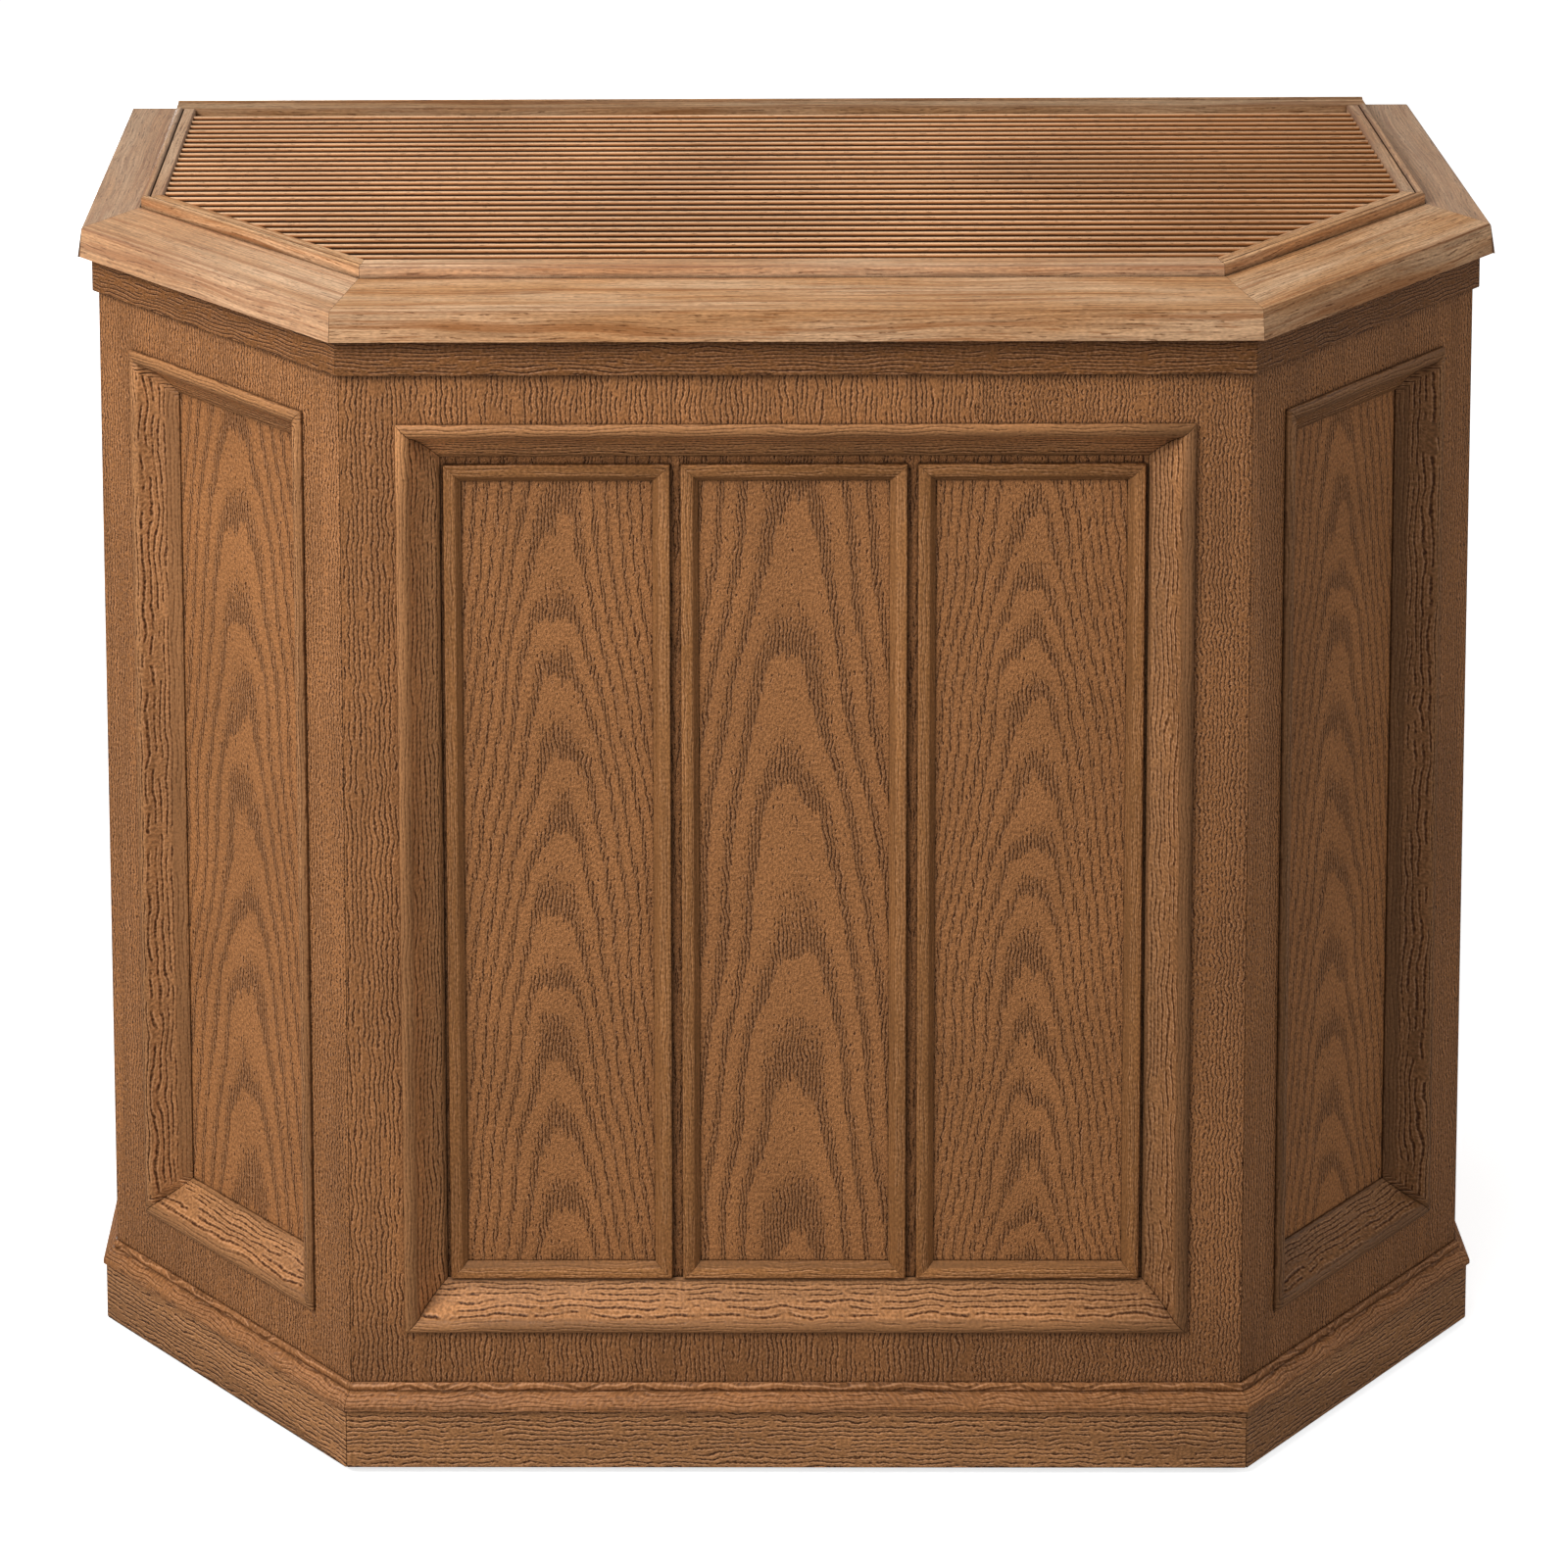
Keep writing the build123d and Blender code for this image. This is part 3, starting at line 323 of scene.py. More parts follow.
def board_oak(name, degrees, centre, rail_half, seed):
    """Upright grain embossed in a flat board: long lines in the rails, short worms in the stiles."""
    graph = Graph(name)
    along, out = face_axes(graph, degrees)
    u = along - centre + out * 0.6
    v = graph.z
    in_rail = graph.smaller(abs(u), rail_half)
    band = graph.noise(graph.vector(u / 14.0, v / 190.0, seed + 20), 2.0)
    absent = graph.ease(band, 0.30, 0.62, 0.50, 0.36)
    pitch = graph.choose(in_rail, 2.0, 2.4)
    length = graph.choose(in_rail, 2.4, 14.0)
    wiggle = graph.choose(in_rail, 1.1, 0.75)
    wave = graph.choose(in_rail, 1.7, 2.4)
    core, edge, relief = pores(graph, u, v, pitch, length, seed, absent, wiggle, wave)
    cloud = graph.noise(graph.vector(u / 60.0, v / 110.0, seed + 40), 2.0)
    colour = graph.shade(OAK, graph.ease(cloud, 0.3, 0.7, 0.92, 1.09))
    streak = graph.noise(graph.vector(u / 5.0, v / 210.0, seed + 50), 2.0)
    colour = graph.shade(colour, graph.ease(streak, 0.3, 0.7, 0.90, 1.10))
    # Painted shade: darker towards the foot of the board.
    colour = graph.shade(colour, graph.ease(v, *BOARD_FOOT_SHADE, 0.76 if degrees == 0 else 0.88, 1.0))
    colour = graph.shade(colour, graph.ease(graph.x, *BOARD_RIGHT, 1.0, 0.90))
    # Dark pores with a painted highlight along their edges.
    colour = pored_and_highlit(graph, colour, OAK_PORE, core, edge)
    # Glazing with painted shade in the corners.
    colour = glazed_and_shaded(graph, colour)
    return graph.surface(colour, 0.50, relief * RELIEF, SHEEN)


def field_oak(name, degrees, centres, spacings, seed):
    """Arched grain, apexes up, one set of arches for each centre, with its own ring spacing."""
    graph = Graph(name)
    along, _ = face_axes(graph, degrees)
    u = along - centres[0]
    shift = graph.math("ADD", 0.0, float(seed))
    spacing = graph.math("ADD", 0.0, spacings[0])
    for number, centre in enumerate(centres[1:], start=1):
        edge = (centre + centres[number - 1]) / 2
        past = graph.math("GREATER_THAN", along, edge)
        u = graph.choose(past, u, along - centre)
        shift = graph.choose(past, shift, float(seed + 7 * number))
        spacing = graph.choose(past, spacing, spacings[number])
    v = graph.z
    sway = graph.noise(graph.vector(u / 160.0, v / 150.0, shift), 1.0) - 0.5
    bulge = graph.noise(graph.vector(u / 26.0, v / 60.0, shift + 40.0), 1.0) - 0.5
    lobes = graph.noise(graph.vector(u / 9.0, v / 50.0, shift + 50.0), 1.0) - 0.5
    stretch = graph.noise(graph.vector(0.0, v / 60.0, shift + 55.0)) - 0.5
    jagged = graph.noise(graph.vector(u / 1.4, v / 20.0, shift + 58.0), 1.0) - 0.5
    u = u + sway * 16.0
    arch = graph.math("POWER", abs(u * u * u) + 14.0 ** 3, 1.0 / 3.0) + u * u * 0.005
    bent = arch + v * 0.19 + bulge * 6.0 + lobes * 4.0 + stretch * 6.0 + jagged * 3.4
    rings = bent / spacing + shift * 0.37
    phase = graph.fraction(-rings)
    density = graph.ease(phase, 0.34, 0.86) * graph.ease(phase, 0.955, 1.0, 1.0, 0.0)
    absent = graph.choose(density, 0.62, 0.34)
    core, edge, relief = pores(graph, u, v, 1.8, 4.5, shift + 60.0, absent, 0.8)
    stipple = graph.noise(graph.vector(u / 0.62, v / 0.70, shift + 80.0), 1.0)
    cloud = graph.noise(graph.vector(u / 40.0, v / 80.0, shift + 90.0), 2.0)
    colour = graph.shade(FIELD, graph.ease(cloud, 0.3, 0.7, 0.94, 1.07))
    colour = graph.shade(colour, graph.choose(density, 1.12, 0.78))
    # Dark pores with a painted highlight along their edges.
    colour = pored_and_highlit(graph, colour, FIELD_PORE, core, edge)
    # Glazing with painted shade in the corners and beside the bead frames.
    colour = glazed_and_shaded(graph, colour, 11.0, 0.80)
    height = relief * RELIEF + stipple * (0.34 - density * 0.14)
    return graph.surface(colour, 0.50, height, SHEEN)


def mitred_axes(graph, degrees, centres, half_width, low, high):
    """Across and along the grain of mitred frames, and the distance in from a frame's outer edge."""
    face, _ = face_axes(graph, degrees)
    u = face - centres[0]
    for number, centre in enumerate(centres[1:], start=1):
        edge = (centre + centres[number - 1]) / 2
        u = graph.choose(graph.math("GREATER_THAN", face, edge), u, face - centre)
    v = graph.z - (low + high) / 2
    upright = graph.smaller(half_width - abs(u), (high - low) / 2 - abs(v))
    across = graph.choose(upright, v, face)
    along = graph.choose(upright, face, v + 300.0)
    inset = graph.math("MINIMUM", half_width - abs(u), (high - low) / 2 - abs(v))
    return across, along, inset


def length_oak(name, axes, seed, base=MOULD, pitch=1.9, length=14.0, absent=0.42, wiggle=0.5,
               wave=5.0, weight=PORE_WEIGHT, relief=0.9, glaze_and_shade=0.68, flat=None, left=1.0,
               right=0.84, top=1.0):
    """Grain along a moulding or a plain strip. axes(graph) gives across, along and the distance from
    the outer edge. Outside the flat, a pair of such distances, the wood is darker and smoother.
    left, right and top are the brightness of that end, where the middle is 1."""
    graph = Graph(name)
    across, along, inset = axes(graph)
    gate = graph.noise(graph.vector(across / 7.0, along / 50.0, seed + 50), 1.0)
    core, edge, height = pores(graph, across, along, pitch, length, seed,
                               graph.ease(gate, 0.3, 0.65, absent + 0.08, absent - 0.06), wiggle, wave)
    streak = graph.noise(graph.vector(across / 2.6, along / 70.0, seed + 20), 2.0)
    cloud = graph.noise(graph.vector(across / 14.0, along / 90.0, seed + 30), 2.0)
    colour = graph.shade(base, graph.ease(streak, 0.3, 0.7, 0.90, 1.10))
    colour = graph.shade(colour, graph.ease(cloud, 0.3, 0.7, 0.92, 1.08))
    colour = graph.shade(colour, graph.ease(graph.x, *STRIP_RIGHT, 1.0, right))
    colour = graph.shade(colour, graph.ease(graph.x, *STRIP_LEFT, left, 1.0))
    colour = graph.shade(colour, graph.ease(graph.z, *STRIP_TOP, 1.0, top))
    if flat:
        start, end = flat
        inside = graph.ease(inset, start - 0.5, start + 0.5)
        on_flat = inside * graph.ease(inset, end - 0.5, end + 0.5, 1.0, 0.0)
        colour = graph.shade(colour, graph.choose(on_flat, 0.76, 1.02))
        embossed = on_flat * 0.5 + 0.5
        core, edge, height = core * embossed, edge * embossed, height * embossed
    # Dark pores with a painted highlight along their edges.
    colour = pored_and_highlit(graph, colour, OAK_PORE, core, edge, weight)
    # Glazing with painted shade in the corners.
    colour = glazed_and_shaded(graph, colour, 9.0, glaze_and_shade)
    return graph.surface(colour, 0.48, height * (RELIEF * relief), SHEEN)


def top_oak(name, axes, seed, tint=1.0, painted_sheen=0.0):
    """Pale oak of the top boards: fine lines and orange streaks along the length, darker edges."""
    graph = Graph(name)
    across, along = axes(graph)
    bend = graph.noise(graph.vector(across / 30.0, along / 110.0, seed + 60), 1.0) - 0.5
    across = across + bend * 9.0
    fine = graph.noise(graph.vector(across / 0.9, along / 60.0, seed), 2.0)
    hair = graph.noise(graph.vector(across / 0.7, along / 22.0, seed + 15), 1.0)
    etched = graph.noise(graph.vector(across / 0.6, along / 3.2, seed + 70), 1.0)
    ticks, _, _ = pores(graph, across, along, 1.7, 12.0, seed + 9, 0.56, 0.3, 6.0)
    streak = graph.noise(graph.vector(across / 3.6, along / 240.0, seed + 20), 3.0)
    cloud = graph.noise(graph.vector(across / 16.0, along / 150.0, seed + 30), 2.0)
    colour = graph.blend(graph.ease(cloud, 0.35, 0.7), TOP, TOP_PALE)
    colour = graph.shade(colour, graph.ease(fine, 0.32, 0.68, 0.74, 1.20))
    colour = graph.shade(colour, graph.ease(etched, 0.32, 0.68, 0.84, 1.15))
    colour = graph.blend(graph.ease(streak, 0.50, 0.66, 0.0, 0.60), colour, TOP_STREAK)
    colour = graph.blend(graph.ease(hair, 0.56, 0.68, 0.0, 0.50), colour, TOP_STREAK)
    colour = graph.blend(ticks * 0.70, colour, OAK_PORE)
    upright = graph.ease(graph.normal_z, 0.35, 0.85, 1.0, 0.0)
    colour = graph.blend(upright * 0.22, colour, TOP_EDGE)
    arris = graph.ease(graph.normal_z, 0.22, 0.45) * graph.ease(graph.normal_z, 0.80, 0.96, 1.0, 0.0)
    colour = graph.blend(arris * 0.55, colour, TOP_ARRIS)
    # Painted sheen: a grey wash standing in for reflection off the top board.
    if painted_sheen:
        colour = graph.blend(painted_sheen, colour, TOP_SHEEN_GREY)
    colour = graph.shade(colour, tint)
    # Glazing with painted shade in the corners.
    colour = glazed_and_shaded(graph, colour, 5.0, 0.75)
    height = fine * 0.16 + etched * 0.14 - ticks * 0.12 - hair * 0.10
    return graph.surface(colour, 0.50, height, 0.14)


def slat_oak(name, seed):
    """The slats: a painted highlight on the ridges over brown faces, with painted shade going dark down
    into the gaps, in soft patches.
    """
    graph = Graph(name)
    across, along = graph.y, graph.x
    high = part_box("grille_slats")[1].z * 1000
    under = graph.ease(graph.z, high - 9.0, high - 6.0)
    fine = graph.noise(graph.vector(across / 1.2, along / 30.0, seed + 30), 2.0)
    ticks, _, _ = pores(graph, graph.z + across * 0.7, along, 1.5, 7.0, seed, 0.56, 0.4, 3.0)
    patch = graph.noise(graph.vector(across / 90.0, along / 130.0, seed + 20), 1.0)
    # Painted shade down the faces into the gaps, a lighter brown again lower down.
    colour = graph.blend(under, SLAT_UNDER, SLAT_SHADE_AND_PORE)
    colour = graph.blend(graph.ease(graph.z, high - 1.7, high - 0.6), colour, SLAT)
    # Painted highlight along the top of each slat.
    ridge_highlight = graph.ease(graph.z, high - 0.7, high - 0.1) * graph.ease(fine, 0.25, 0.5, 0.75, 1.0)
    colour = graph.blend(ridge_highlight, colour, SLAT_RIDGE_HIGHLIGHT)
    colour = graph.shade(colour, graph.ease(patch, 0.35, 0.68, 0.90, 1.10))
    colour = graph.blend(graph.ease(graph.x, 60.0, 260.0, 0.0, 0.35), colour, SLAT_WARM)
    colour = graph.blend(ticks * 0.5, colour, SLAT_SHADE_AND_PORE)
    return graph.surface(colour, 0.5, ticks * -0.18, SHEEN)


# ---------------------------------------------------------------- other finishes


def moulded_plastic(name, colour, grain=0.9, depth=0.05, rough=0.45, specular=0.4):
    """Moulded plastic with a fine etched grain and a trace of dust in its corners."""
    graph = Graph(name)
    place = graph.vector(graph.x / grain, graph.y / grain, graph.z / grain)
    etched = graph.noise(place, 2.0)
    cloud = graph.noise(graph.vector(graph.x / 55.0, graph.y / 55.0, graph.z / 55.0), 2.0)
    tone = graph.shade(colour, graph.ease(cloud, 0.3, 0.7, 0.93, 1.07))
    dusty = graph.ease(graph.openness(8.0), 0.3, 0.9, 0.22, 0.0)
    tone = graph.blend(dusty, tone, DUST)
    roughness = graph.ease(cloud, 0.3, 0.7, rough - 0.06, rough + 0.08)
    return graph.surface(tone, roughness, etched * depth, specular)


def knob_plastic(name, node):
    """Dark grained knob with its raised pointer painted white."""
    graph = Graph(name)
    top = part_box(node)[1].z * 1000
    etched = graph.noise(graph.vector(graph.x / 0.8, graph.y / 0.8, graph.z / 0.8), 2.0)
    colour = graph.shade(KNOB, graph.ease(etched, 0.3, 0.7, 0.8, 1.2))
    colour = graph.blend(graph.ease(graph.z, top - 1.4, top - 1.1), colour, MARK_WHITE)
    return graph.surface(colour, 0.45, etched * 0.05, 0.4)


def pleated_paper(name, low):
    """Cream wick paper with fine fibres, browner towards the foot where it stands in water."""
    graph = Graph(name)
    fibre = graph.noise(graph.vector(graph.x / 0.7, graph.y / 0.7, graph.z / 2.6), 2.0)
    edge = graph.noise(graph.vector(graph.x / 40.0, graph.y / 40.0, graph.z / 30.0), 2.0)
    wet = graph.ease(graph.z + edge * 60.0, low + 60.0, low + 170.0, 1.0, 0.0)
    colour = graph.blend(wet, PAPER, PAPER_WET)
    colour = graph.shade(colour, graph.ease(fibre, 0.3, 0.7, 0.86, 1.08))
    return graph.surface(colour, 0.85, fibre * 0.3, 0.1)


def metal(name, colour, rough):
    """Plated or painted metal, with fine scratches and darker corners."""
    graph = Graph(name)
    scratch = graph.noise(graph.vector(graph.x / 0.35, graph.y / 0.35, graph.z / 9.0), 2.0)
    stain = graph.noise(graph.vector(graph.x / 26.0, graph.y / 26.0, graph.z / 26.0), 3.0)
    tone = graph.shade(colour, graph.ease(stain, 0.3, 0.7, 0.93, 1.04))
    # Darker in the corners.
    tone = graph.blend(graph.ease(graph.openness(4.0), 0.3, 0.85, 0.5, 0.0), tone, METAL_CORNER_DARK)
    roughness = graph.ease(stain, 0.3, 0.7, rough, rough + 0.08)
    return graph.surface(tone, roughness, scratch * 0.02, 0.5, 1.0)


def backing_board(name):
    """Pressed board: brown fibre with pale and dark flecks."""
    graph = Graph(name)
    flecks = graph.cells(graph.vector(graph.x / 3.4, graph.y / 3.4, graph.z / 2.2))
    fibre = graph.noise(graph.vector(graph.x / 0.9, graph.y / 0.9, graph.z / 3.0), 2.0)
    cloud = graph.noise(graph.vector(graph.x / 90.0, graph.y / 90.0, graph.z / 90.0), 2.0)
    tone = graph.blend(graph.ease(flecks, 0.15, 0.75), FIBRE_PALE, FIBRE)
    tone = graph.shade(tone, graph.ease(fibre, 0.3, 0.7, 0.82, 1.12))
    tone = graph.shade(tone, graph.ease(cloud, 0.3, 0.7, 0.92, 1.08))
    # Glazing with painted shade in the corners.
    tone = glazed_and_shaded(graph, tone, 7.0, 0.45)
    return graph.surface(tone, 0.72, fibre * 0.10, 0.25)


# ---------------------------------------------------------------- which finish each node takes


def finish(node, material):
    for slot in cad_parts[node].material_slots:
        slot.material = material


def soften(node, width=0.5, angle=28.0):
    """Eases the sharp edges of a wooden part by a fraction of a millimetre."""
    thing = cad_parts[node]
    weld = thing.modifiers.new("weld", "WELD")
    weld.merge_threshold = 0.00002
    bevel = thing.modifiers.new("eased_edges", "BEVEL")
    bevel.width = width / 1000
    bevel.segments = 2
    bevel.limit_method = "ANGLE"
    bevel.angle_limit = math.radians(angle)
    bevel.harden_normals = False


def straight(degrees):
    """Grain that runs level along a face turned by degrees, across it up the face."""
    def axes(graph):
        along, out = face_axes(graph, degrees)
        return graph.z - out * 0.6, along, None
    return axes


def flat_top(degrees):
    """Grain that runs along a top board, across it in plan."""
    def axes(graph):
        along, out = face_axes(graph, degrees)
        return out - graph.z * 0.8, along
    return axes


def both_sides(degrees):
    """Grain along a pair of top boards, one each side of the middle."""
    turn = math.radians(degrees)
    def axes(graph):
        side = graph.math("SIGN", graph.x)
        reach = abs(graph.x)
        along = reach * math.cos(turn) + graph.y * math.sin(turn)
        out = reach * math.sin(turn) - graph.y * math.cos(turn)
        return out - graph.z * 0.8, along + side * 400.0
    return axes


def wrapped(graph):
    """Along a strip that goes round the front, the cants and the sides."""
    run = abs(graph.x) + (graph.y - FRONT_Y)
    side = graph.math("SIGN", graph.x)
    return graph.z - graph.normal_z * 2.0, run * side, None


# The five faces that show wood, each with its turn from the front in degrees.
FACES = {
    "front": 0.0,
    "left_canted": -45.0,
    "right_canted": 45.0,
    "left_side": -90.0,
    "right_side": 90.0,
}


def face_centre(node, degrees):
    """Middle of a node's box, measured along its face, in millimetres."""
    low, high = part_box(node)
    middle = (low + high) * 500
    turn = math.radians(degrees)
    return middle.x * math.cos(turn) + middle.y * math.sin(turn)


def face_half(node, degrees):
    """Half the width of a flat node along its face, in millimetres."""
    low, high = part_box(node)
    span = (high - low) * 1000
    return (span.x if degrees == 0 else span.x * math.sqrt(2)) / 2


def moulding_frame(node, degrees):
    """The axes of one mitred moulding, for length_oak."""
    low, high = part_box(node)
    centre, half = face_centre(node, degrees), face_half(node, degrees)
    return lambda graph: mitred_axes(graph, degrees, (centre,), half, low.z * 1000, high.z * 1000)


# How much painted sheen, as a grey wash, each face's top board takes.
TOP_PAINTED_SHEEN = {"left_side": 0.45, "right_side": 0.45, "left_canted": 0.2}
TOP_TINT = {"left_canted": 1.12}
MOULDING_FLAT = (6.8, 19.0)
for number, (face, degrees) in enumerate(FACES.items()):
    seed = 60 * number
    board = face + "_board"
    moulding = face + "_moulding"
    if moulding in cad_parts:
        rail_half = face_half(moulding, degrees) - 2.0
        centre = face_centre(moulding, degrees)
        left = 1.22 if face == "front" else 1.0
        right = 0.62 if face == "right_canted" else 0.48
        oak = length_oak(moulding + "_oak", moulding_frame(moulding, degrees), seed + 21.0,
                         flat=MOULDING_FLAT, left=left, right=right, top=1.30)
        finish(moulding, oak)
        soften(moulding, 0.35)
    else:
        rail_half = 1.0
        centre = face_centre(board, degrees)
    finish(board, board_oak(board + "_oak", degrees, centre, rail_half, seed + 3.0))
    soften(board)
    cornice = "cornice_" + face
    finish(cornice, top_oak(cornice + "_oak", flat_top(degrees), seed + 8.0,
                            TOP_TINT.get(face, 1.0), TOP_PAINTED_SHEEN.get(face, 0.0)))
    soften(cornice, 0.6)
    plinth = "plinth_" + face
    finish(plinth, length_oak(plinth + "_oak", straight(degrees), seed + 33.0, pitch=2.4, length=9.0,
                              wiggle=0.9, wave=3.0, right=0.76))
    soften(plinth)

bead_low, bead_high = (corner * 1000 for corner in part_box("field_bead_frames"))
BEAD_WIDTH = 109.6
BEAD_CENTRES = (bead_low.x + BEAD_WIDTH / 2, 0.0, bead_high.x - BEAD_WIDTH / 2)


def bead_axes(graph):
    """Along each of the twelve lengths of the small bead frames."""
    return mitred_axes(graph, 0.0, BEAD_CENTRES, BEAD_WIDTH / 2, bead_low.z, bead_high.z)


finish("front_field_panel", field_oak("front_field_oak", 0.0, BEAD_CENTRES, (7.4, 14.0, 6.2), 5))
for side, degrees, spacing, seed in (("left", -45.0, 9.5, 31), ("right", 45.0, 7.5, 47)):
    node = side + "_field_panel"
    centre = face_centre(node, degrees)
    finish(node, field_oak(side + "_field_oak", degrees, (centre,), (spacing,), seed))

finish("field_bead_frames", length_oak("bead_frame_oak", bead_axes, 140.0, BEAD, length=30.0, absent=0.45,
                                       weight=0.45, relief=0.4, glaze_and_shade=0.75, flat=(-1.0, 5.6)))
soften("field_bead_frames", 0.3)
finish("plinth_cap", length_oak("plinth_cap_oak", wrapped, 150.0, CAP, pitch=1.3, length=12.0,
                                wiggle=0.2, weight=0.5))
soften("plinth_cap", 0.3)
finish("apron", length_oak("apron_oak", wrapped, 160.0, APRON, length=12.0, wiggle=0.3))
soften("apron", 0.4)

finish("lid_front_rail", top_oak("lid_front_rail_oak", flat_top(0.0), 170.0, tint=1.12, painted_sheen=0.15))
finish("lid_rear_rail", top_oak("lid_rear_rail_oak", flat_top(0.0), 180.0, tint=0.72))
finish("lid_canted_rails", top_oak("lid_canted_rails_oak", both_sides(45.0), 190.0, tint=1.05))
finish("lid_side_rails", top_oak("lid_side_rails_oak", both_sides(90.0), 200.0, painted_sheen=0.30))
for node in ("lid_front_rail", "lid_rear_rail", "lid_canted_rails", "lid_side_rails"):
    soften(node, 0.35)
slats = slat_oak("slat_oak_shaded", 210.0)
for node in ("grille_slats", "grille_ribs"):
    finish(node, slats)
fibre_board = backing_board("backing_board_fibre")
for node in ("back_panel", "corner_posts", "plinth_rear"):
    finish(node, fibre_board)


def named(start):
    """Every CAD node whose name starts with these letters."""
    return tuple(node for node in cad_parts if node.startswith(start))


PLASTICS = {
    "tray_plastic_grained": (srgb(58, 46, 38), ("base_tray", "intake_grille")),
    "tub_plastic_grained": (srgb(206, 208, 204), ("reservoir_tub",)),
    "rack_plastic_grained": (srgb(92, 98, 104), ("wick_frame",)),
    "deck_plastic_grained": (srgb(84, 80, 76), ("fan_deck",)),
    "door_plastic_grained": (srgb(104, 99, 93), ("fill_door",)),
    "blade_plastic_grained": (srgb(196, 196, 190), ("fan_blade",)),
    "panel_plastic_grained": (srgb(34, 32, 31), ("control_panel",)),
    "float_foam_beads": (srgb(226, 220, 204), ("float",)),
    "cord_rubber_matt": (srgb(40, 36, 32), ("power_cord",)),
    "caster_nylon_grained": (srgb(44, 43, 42), named("caster_yoke")),
    "wheel_rubber_matt": (srgb(30, 29, 29), named("caster_wheel")),
}
for name, (colour, members) in PLASTICS.items():
    material = moulded_plastic(name, colour)
    for node in members:
        finish(node, material)
KNOBS = ("speed_knob", "humidistat_knob")
for knob in KNOBS:
    finish(knob, knob_plastic(knob + "_plastic", knob))
finish("refill_lamp", moulded_plastic("lamp_lens_red", LAMP_RED, 2.0, 0.02, 0.15, 0.6))
finish("motor", metal("motor_painted", MOTOR_GREY, 0.38))
finish("fan_guard", metal("guard_wire", WIRE, 0.32))
for node in ("screws", "lid_pivot_pins", "motor_shaft"):
    finish(node, metal(node + "_steel", STEEL, 0.28))


# ---------------------------------------------------------------- pieces finer than the CAD


def add_mesh(name, points, faces, material):
    mesh = bpy.data.meshes.new(name)
    mesh.from_pydata([tuple(value / 1000 for value in point) for point in points], [], faces)
    mesh.validate()
    mesh.update()
    mesh.materials.append(material)
    thing = bpy.data.objects.new(name, mesh)
    bpy.context.scene.collection.objects.link(thing)
    return thing


def pleated_wick():
    """The evaporating pad as one folded sheet, with upright pleats in the space of the plain block."""
    low, high = (corner * 1000 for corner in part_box("wick"))
    half_sheet = 0.8
    pleats = round((high.x - low.x) / 9.0)
    steps = 10
    reach = (high.y - low.y) / 2 - half_sheet
    middle = (high.y + low.y) / 2
    run = high.x - low.x - 2 * half_sheet
    path = []
    for i in range(pleats * steps + 1):
        turn = 2 * math.pi * i / steps
        wave = (math.sin(turn + 0.5) + 0.12 * math.sin(3 * turn)) / 1.12
        x = low.x + half_sheet + run * i / (pleats * steps)
        path.append(Vector((x, middle + reach * wave)))
    points = []
    for i, here in enumerate(path):
        ahead = path[min(i + 1, len(path) - 1)] - path[max(i - 1, 0)]
        side = Vector((-ahead.y, ahead.x)).normalized() * half_sheet
        for edge in (here + side, here - side):
            edge.x = min(max(edge.x, low.x), high.x)
            points.append((edge.x, edge.y, low.z))
            points.append((edge.x, edge.y, high.z))
    faces = []
    for i in range(len(path) - 1):
        a, b = 4 * i, 4 * i + 4
        faces += [(a, b, b + 1, a + 1), (a + 2, a + 3, b + 3, b + 2),
                  (a + 1, b + 1, b + 3, a + 3), (a, a + 2, b + 2, b)]
    end = 4 * (len(path) - 1)
    faces += [(0, 1, 3, 2), (end, end + 2, end + 3, end + 1)]
    wick = add_mesh("pleated_wick", points, faces, pleated_paper("wick_paper_fibre", low.z))
    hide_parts("wick")
    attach(wick, "cabinet")


def dial_marks():
    """Raised painted ticks on the control panel, over the sweep of each knob's pointer."""
    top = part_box("control_panel")[1].z * 1000
    points, faces = [], []
    for knob in KNOBS:
        low, high = (corner * 1000 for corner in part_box(knob))
        middle = (low + high) / 2
        radius = (high.x - low.x) / 2
        for tick in range(11):
            angle = math.radians(90.0 - 27.0 * tick)
            half_width, length = (0.6, 3.5) if tick % 5 == 0 else (0.4, 2.3)
            out = Vector((math.cos(angle), math.sin(angle)))
            side = Vector((-out.y, out.x)) * half_width
            near = radius + 2.5
            far = near + length
            start = len(points)
            for level, ease in ((top - 0.2, 0.0), (top + 0.2, 0.0), (top + 0.35, 0.15)):
                inner, outer = near + ease, far - ease
                for reach, sign in ((inner, 1), (inner, -1), (outer, -1), (outer, 1)):
                    spot = middle.xy + out * reach + side * sign * (1 - ease)
                    points.append((spot.x, spot.y, level))
            for ring in (0, 4):
                for i in range(4):
                    a, b = start + ring + i, start + ring + (i + 1) % 4
                    faces.append((a, b, b + 4, a + 4))
            faces.append(tuple(start + 8 + i for i in range(4)))
            faces.append(tuple(start + 3 - i for i in range(4)))
    paint = moulded_plastic("dial_mark_paint", MARK_WHITE, 0.9, 0.02)
    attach(add_mesh("dial_marks", points, faces, paint), "cabinet")


pleated_wick()
dial_marks()


# ---------------------------------------------------------------- studio


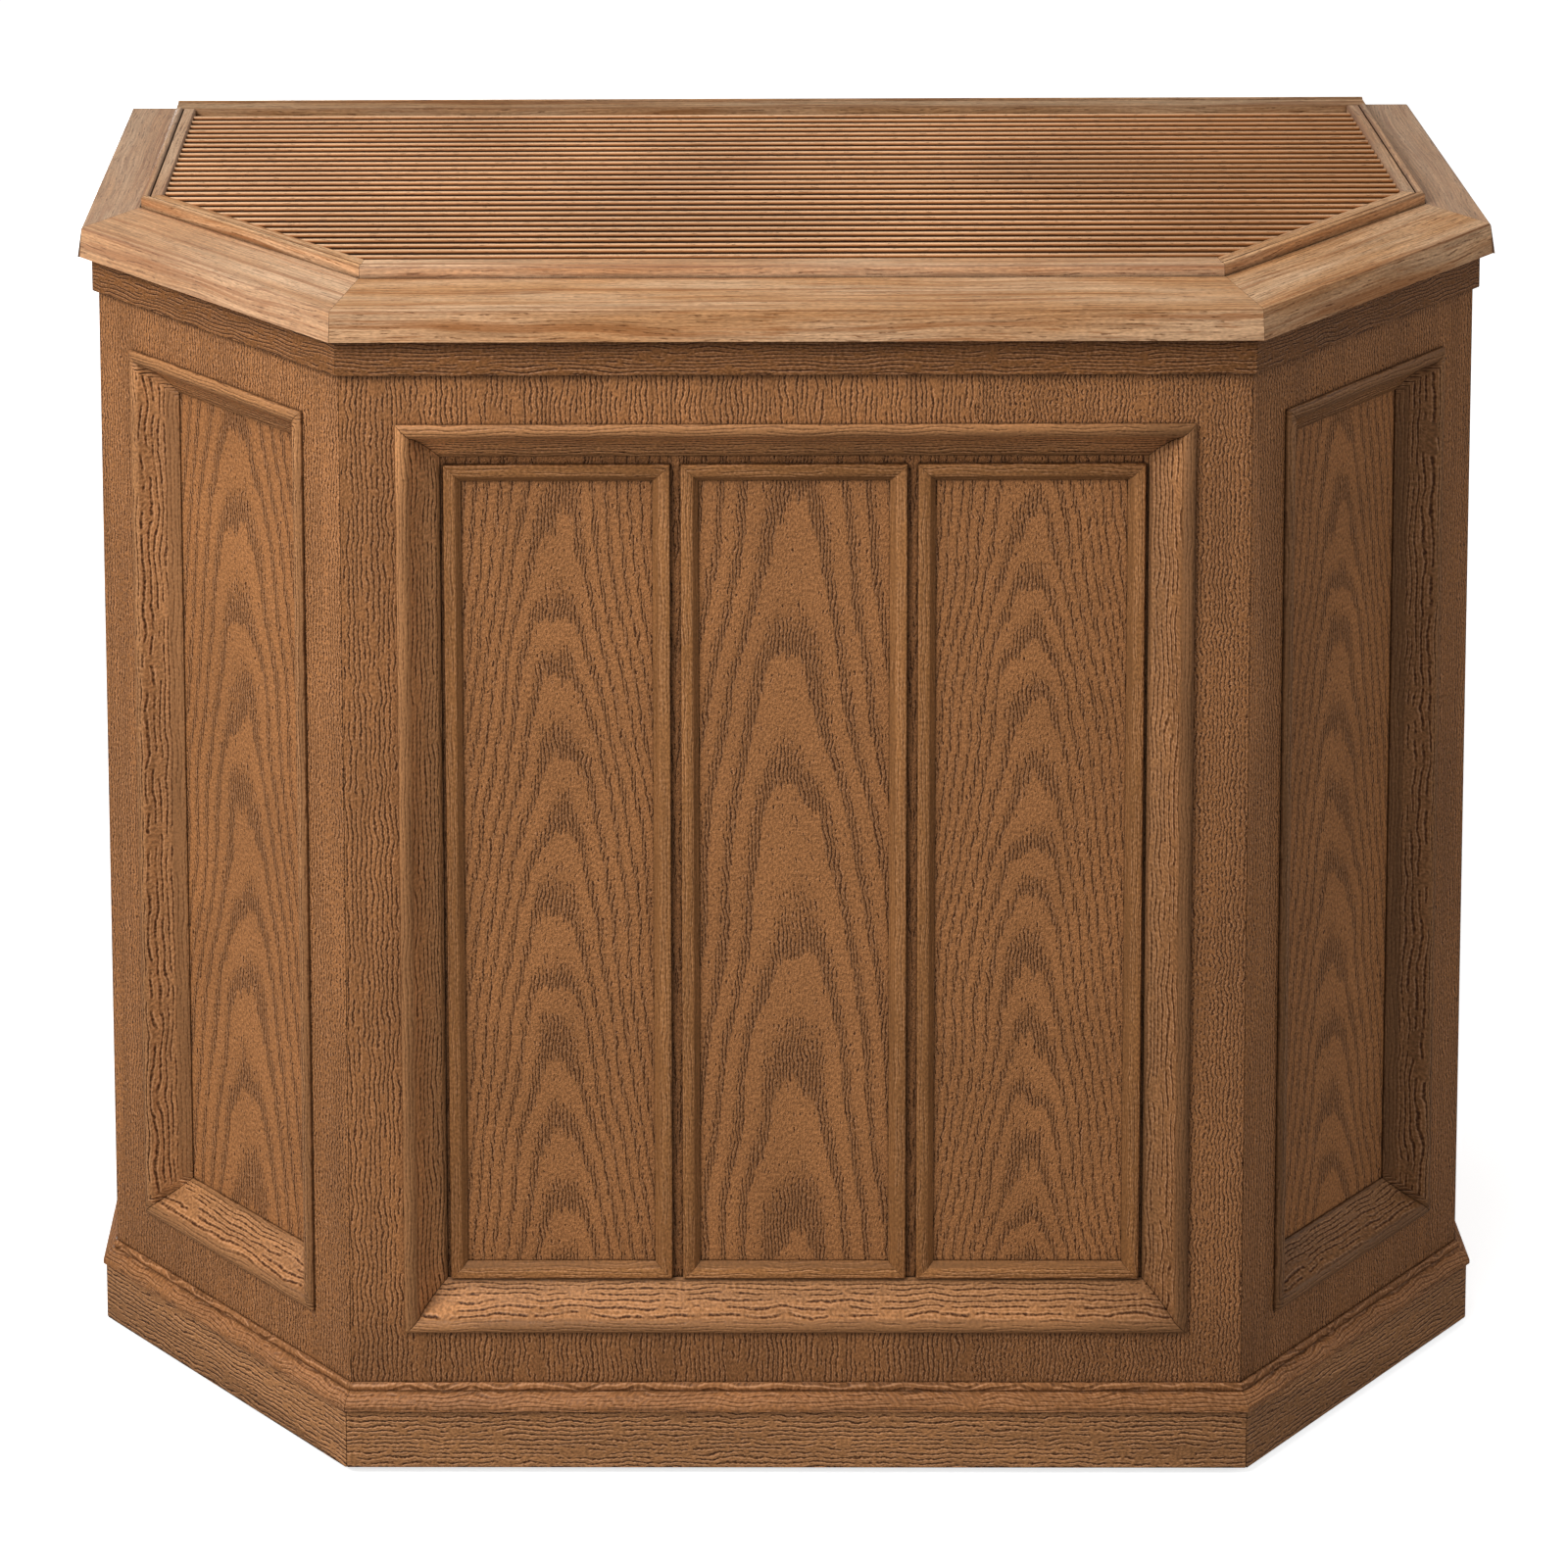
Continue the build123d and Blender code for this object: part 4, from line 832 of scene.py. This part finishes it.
def pale_floor():
    """A wide disc that is white to the camera and a mid grey to the light that falls on it."""
    mesh = bpy.data.meshes.new("floor")
    shape = bmesh.new()
    bmesh.ops.create_circle(shape, cap_ends=True, segments=96, radius=14.0)
    shape.to_mesh(mesh)
    shape.free()
    floor = bpy.data.objects.new("floor", mesh)
    bpy.context.scene.collection.objects.link(floor)
    graph = Graph("floor_pale")
    path = graph.nodes.new("ShaderNodeLightPath")
    seen = Value(graph, path.outputs["Is Camera Ray"])
    colour = graph.blend(seen, (0.30, 0.30, 0.30, 1.0), (0.93, 0.93, 0.93, 1.0))
    glow = graph.shade((1.0, 1.0, 1.0, 1.0), seen * 0.72)
    mesh.materials.append(graph.surface(colour, 0.8, specular=0.05, emission=glow))


def soft_light(name, place, target, width, power):
    data = bpy.data.lights.new(name, "AREA")
    data.shape = "SQUARE"
    data.size = width
    data.energy = power
    lamp = bpy.data.objects.new(name, data)
    lamp.location = place
    lamp.rotation_euler = (Vector(target) - Vector(place)).to_track_quat("-Z", "Y").to_euler()
    bpy.context.scene.collection.objects.link(lamp)


BODY_MIDDLE = (0.0, -0.05, 0.32)
# Name, place, what it points at, width in metres and power in watts.
LAMPS = (
    ("key", (-1.33, -1.17, 1.68), BODY_MIDDLE, 0.9, 32.0),
    ("top", (-0.35, -0.80, 2.36), BODY_MIDDLE, 0.9, 9.0),
    ("front", (-0.87, -1.92, 1.07), BODY_MIDDLE, 0.9, 4.0),
    ("right", (2.04, -0.41, 1.07), BODY_MIDDLE, 0.9, 7.0),
    ("back", (-0.9, 2.3, 0.08), (0.0, 0.2, 0.08), 1.0, 20.0),
)


def dim_sky():
    """An even sky that looks white to the camera and lights the object less."""
    world = bpy.data.worlds.new("studio")
    world.use_nodes = True
    nodes, links = world.node_tree.nodes, world.node_tree.links
    path = nodes.new("ShaderNodeLightPath")
    level = nodes.new("ShaderNodeMapRange")
    level.inputs["To Min"].default_value = 0.27
    level.inputs["To Max"].default_value = 1.0
    links.new(path.outputs["Is Camera Ray"], level.inputs["Value"])
    links.new(level.outputs["Result"], nodes["Background"].inputs["Strength"])
    nodes["Background"].inputs["Color"].default_value = (1.0, 1.0, 1.0, 1.0)
    bpy.context.scene.world = world


# The photo's camera: its place in metres, its turns in radians, and its lens in millimetres.
CAMERA_PLACE = (-0.0804, -2.11505, 1.2237)
CAMERA_TURN = 0.0121
CAMERA_DROP = math.radians(6.607)
CAMERA_ROLL = -0.0064
CAMERA_SHIFT = (0.1351, -0.8435)
CAMERA_SENSOR = 36.0
CAMERA_LENS = 96.2


def photo_camera():
    """A shift lens, so the uprights stay nearly upright. The shift ends when the camera is moved."""
    data = bpy.data.cameras.new("camera")
    data.sensor_width = CAMERA_SENSOR
    data.lens = CAMERA_LENS
    camera = bpy.data.objects.new("camera", data)
    camera.location = CAMERA_PLACE
    turn = Matrix.Rotation(CAMERA_TURN, 3, "Z")
    drop = Matrix.Rotation(math.pi / 2 - CAMERA_DROP, 3, "X")
    roll = Matrix.Rotation(CAMERA_ROLL, 3, "Z")
    camera.rotation_euler = (turn @ drop @ roll).to_euler()
    bpy.context.scene.collection.objects.link(camera)
    bpy.context.scene.camera = camera
    for channel, amount in zip(("shift_x", "shift_y"), CAMERA_SHIFT):
        driver = data.driver_add(channel).driver
        driver.type = "SCRIPTED"
        variable = driver.variables.new()
        variable.name = "height"
        variable.type = "TRANSFORMS"
        variable.targets[0].id = camera
        variable.targets[0].transform_type = "LOC_Z"
        driver.expression = f"{amount} * (abs(height - {CAMERA_PLACE[2]}) < 0.0005)"


pale_floor()
dim_sky()
for lamp in LAMPS:
    soft_light(*lamp)
photo_camera()
bpy.context.scene.view_settings.view_transform = "Standard"
bpy.context.scene.view_settings.look = "None"
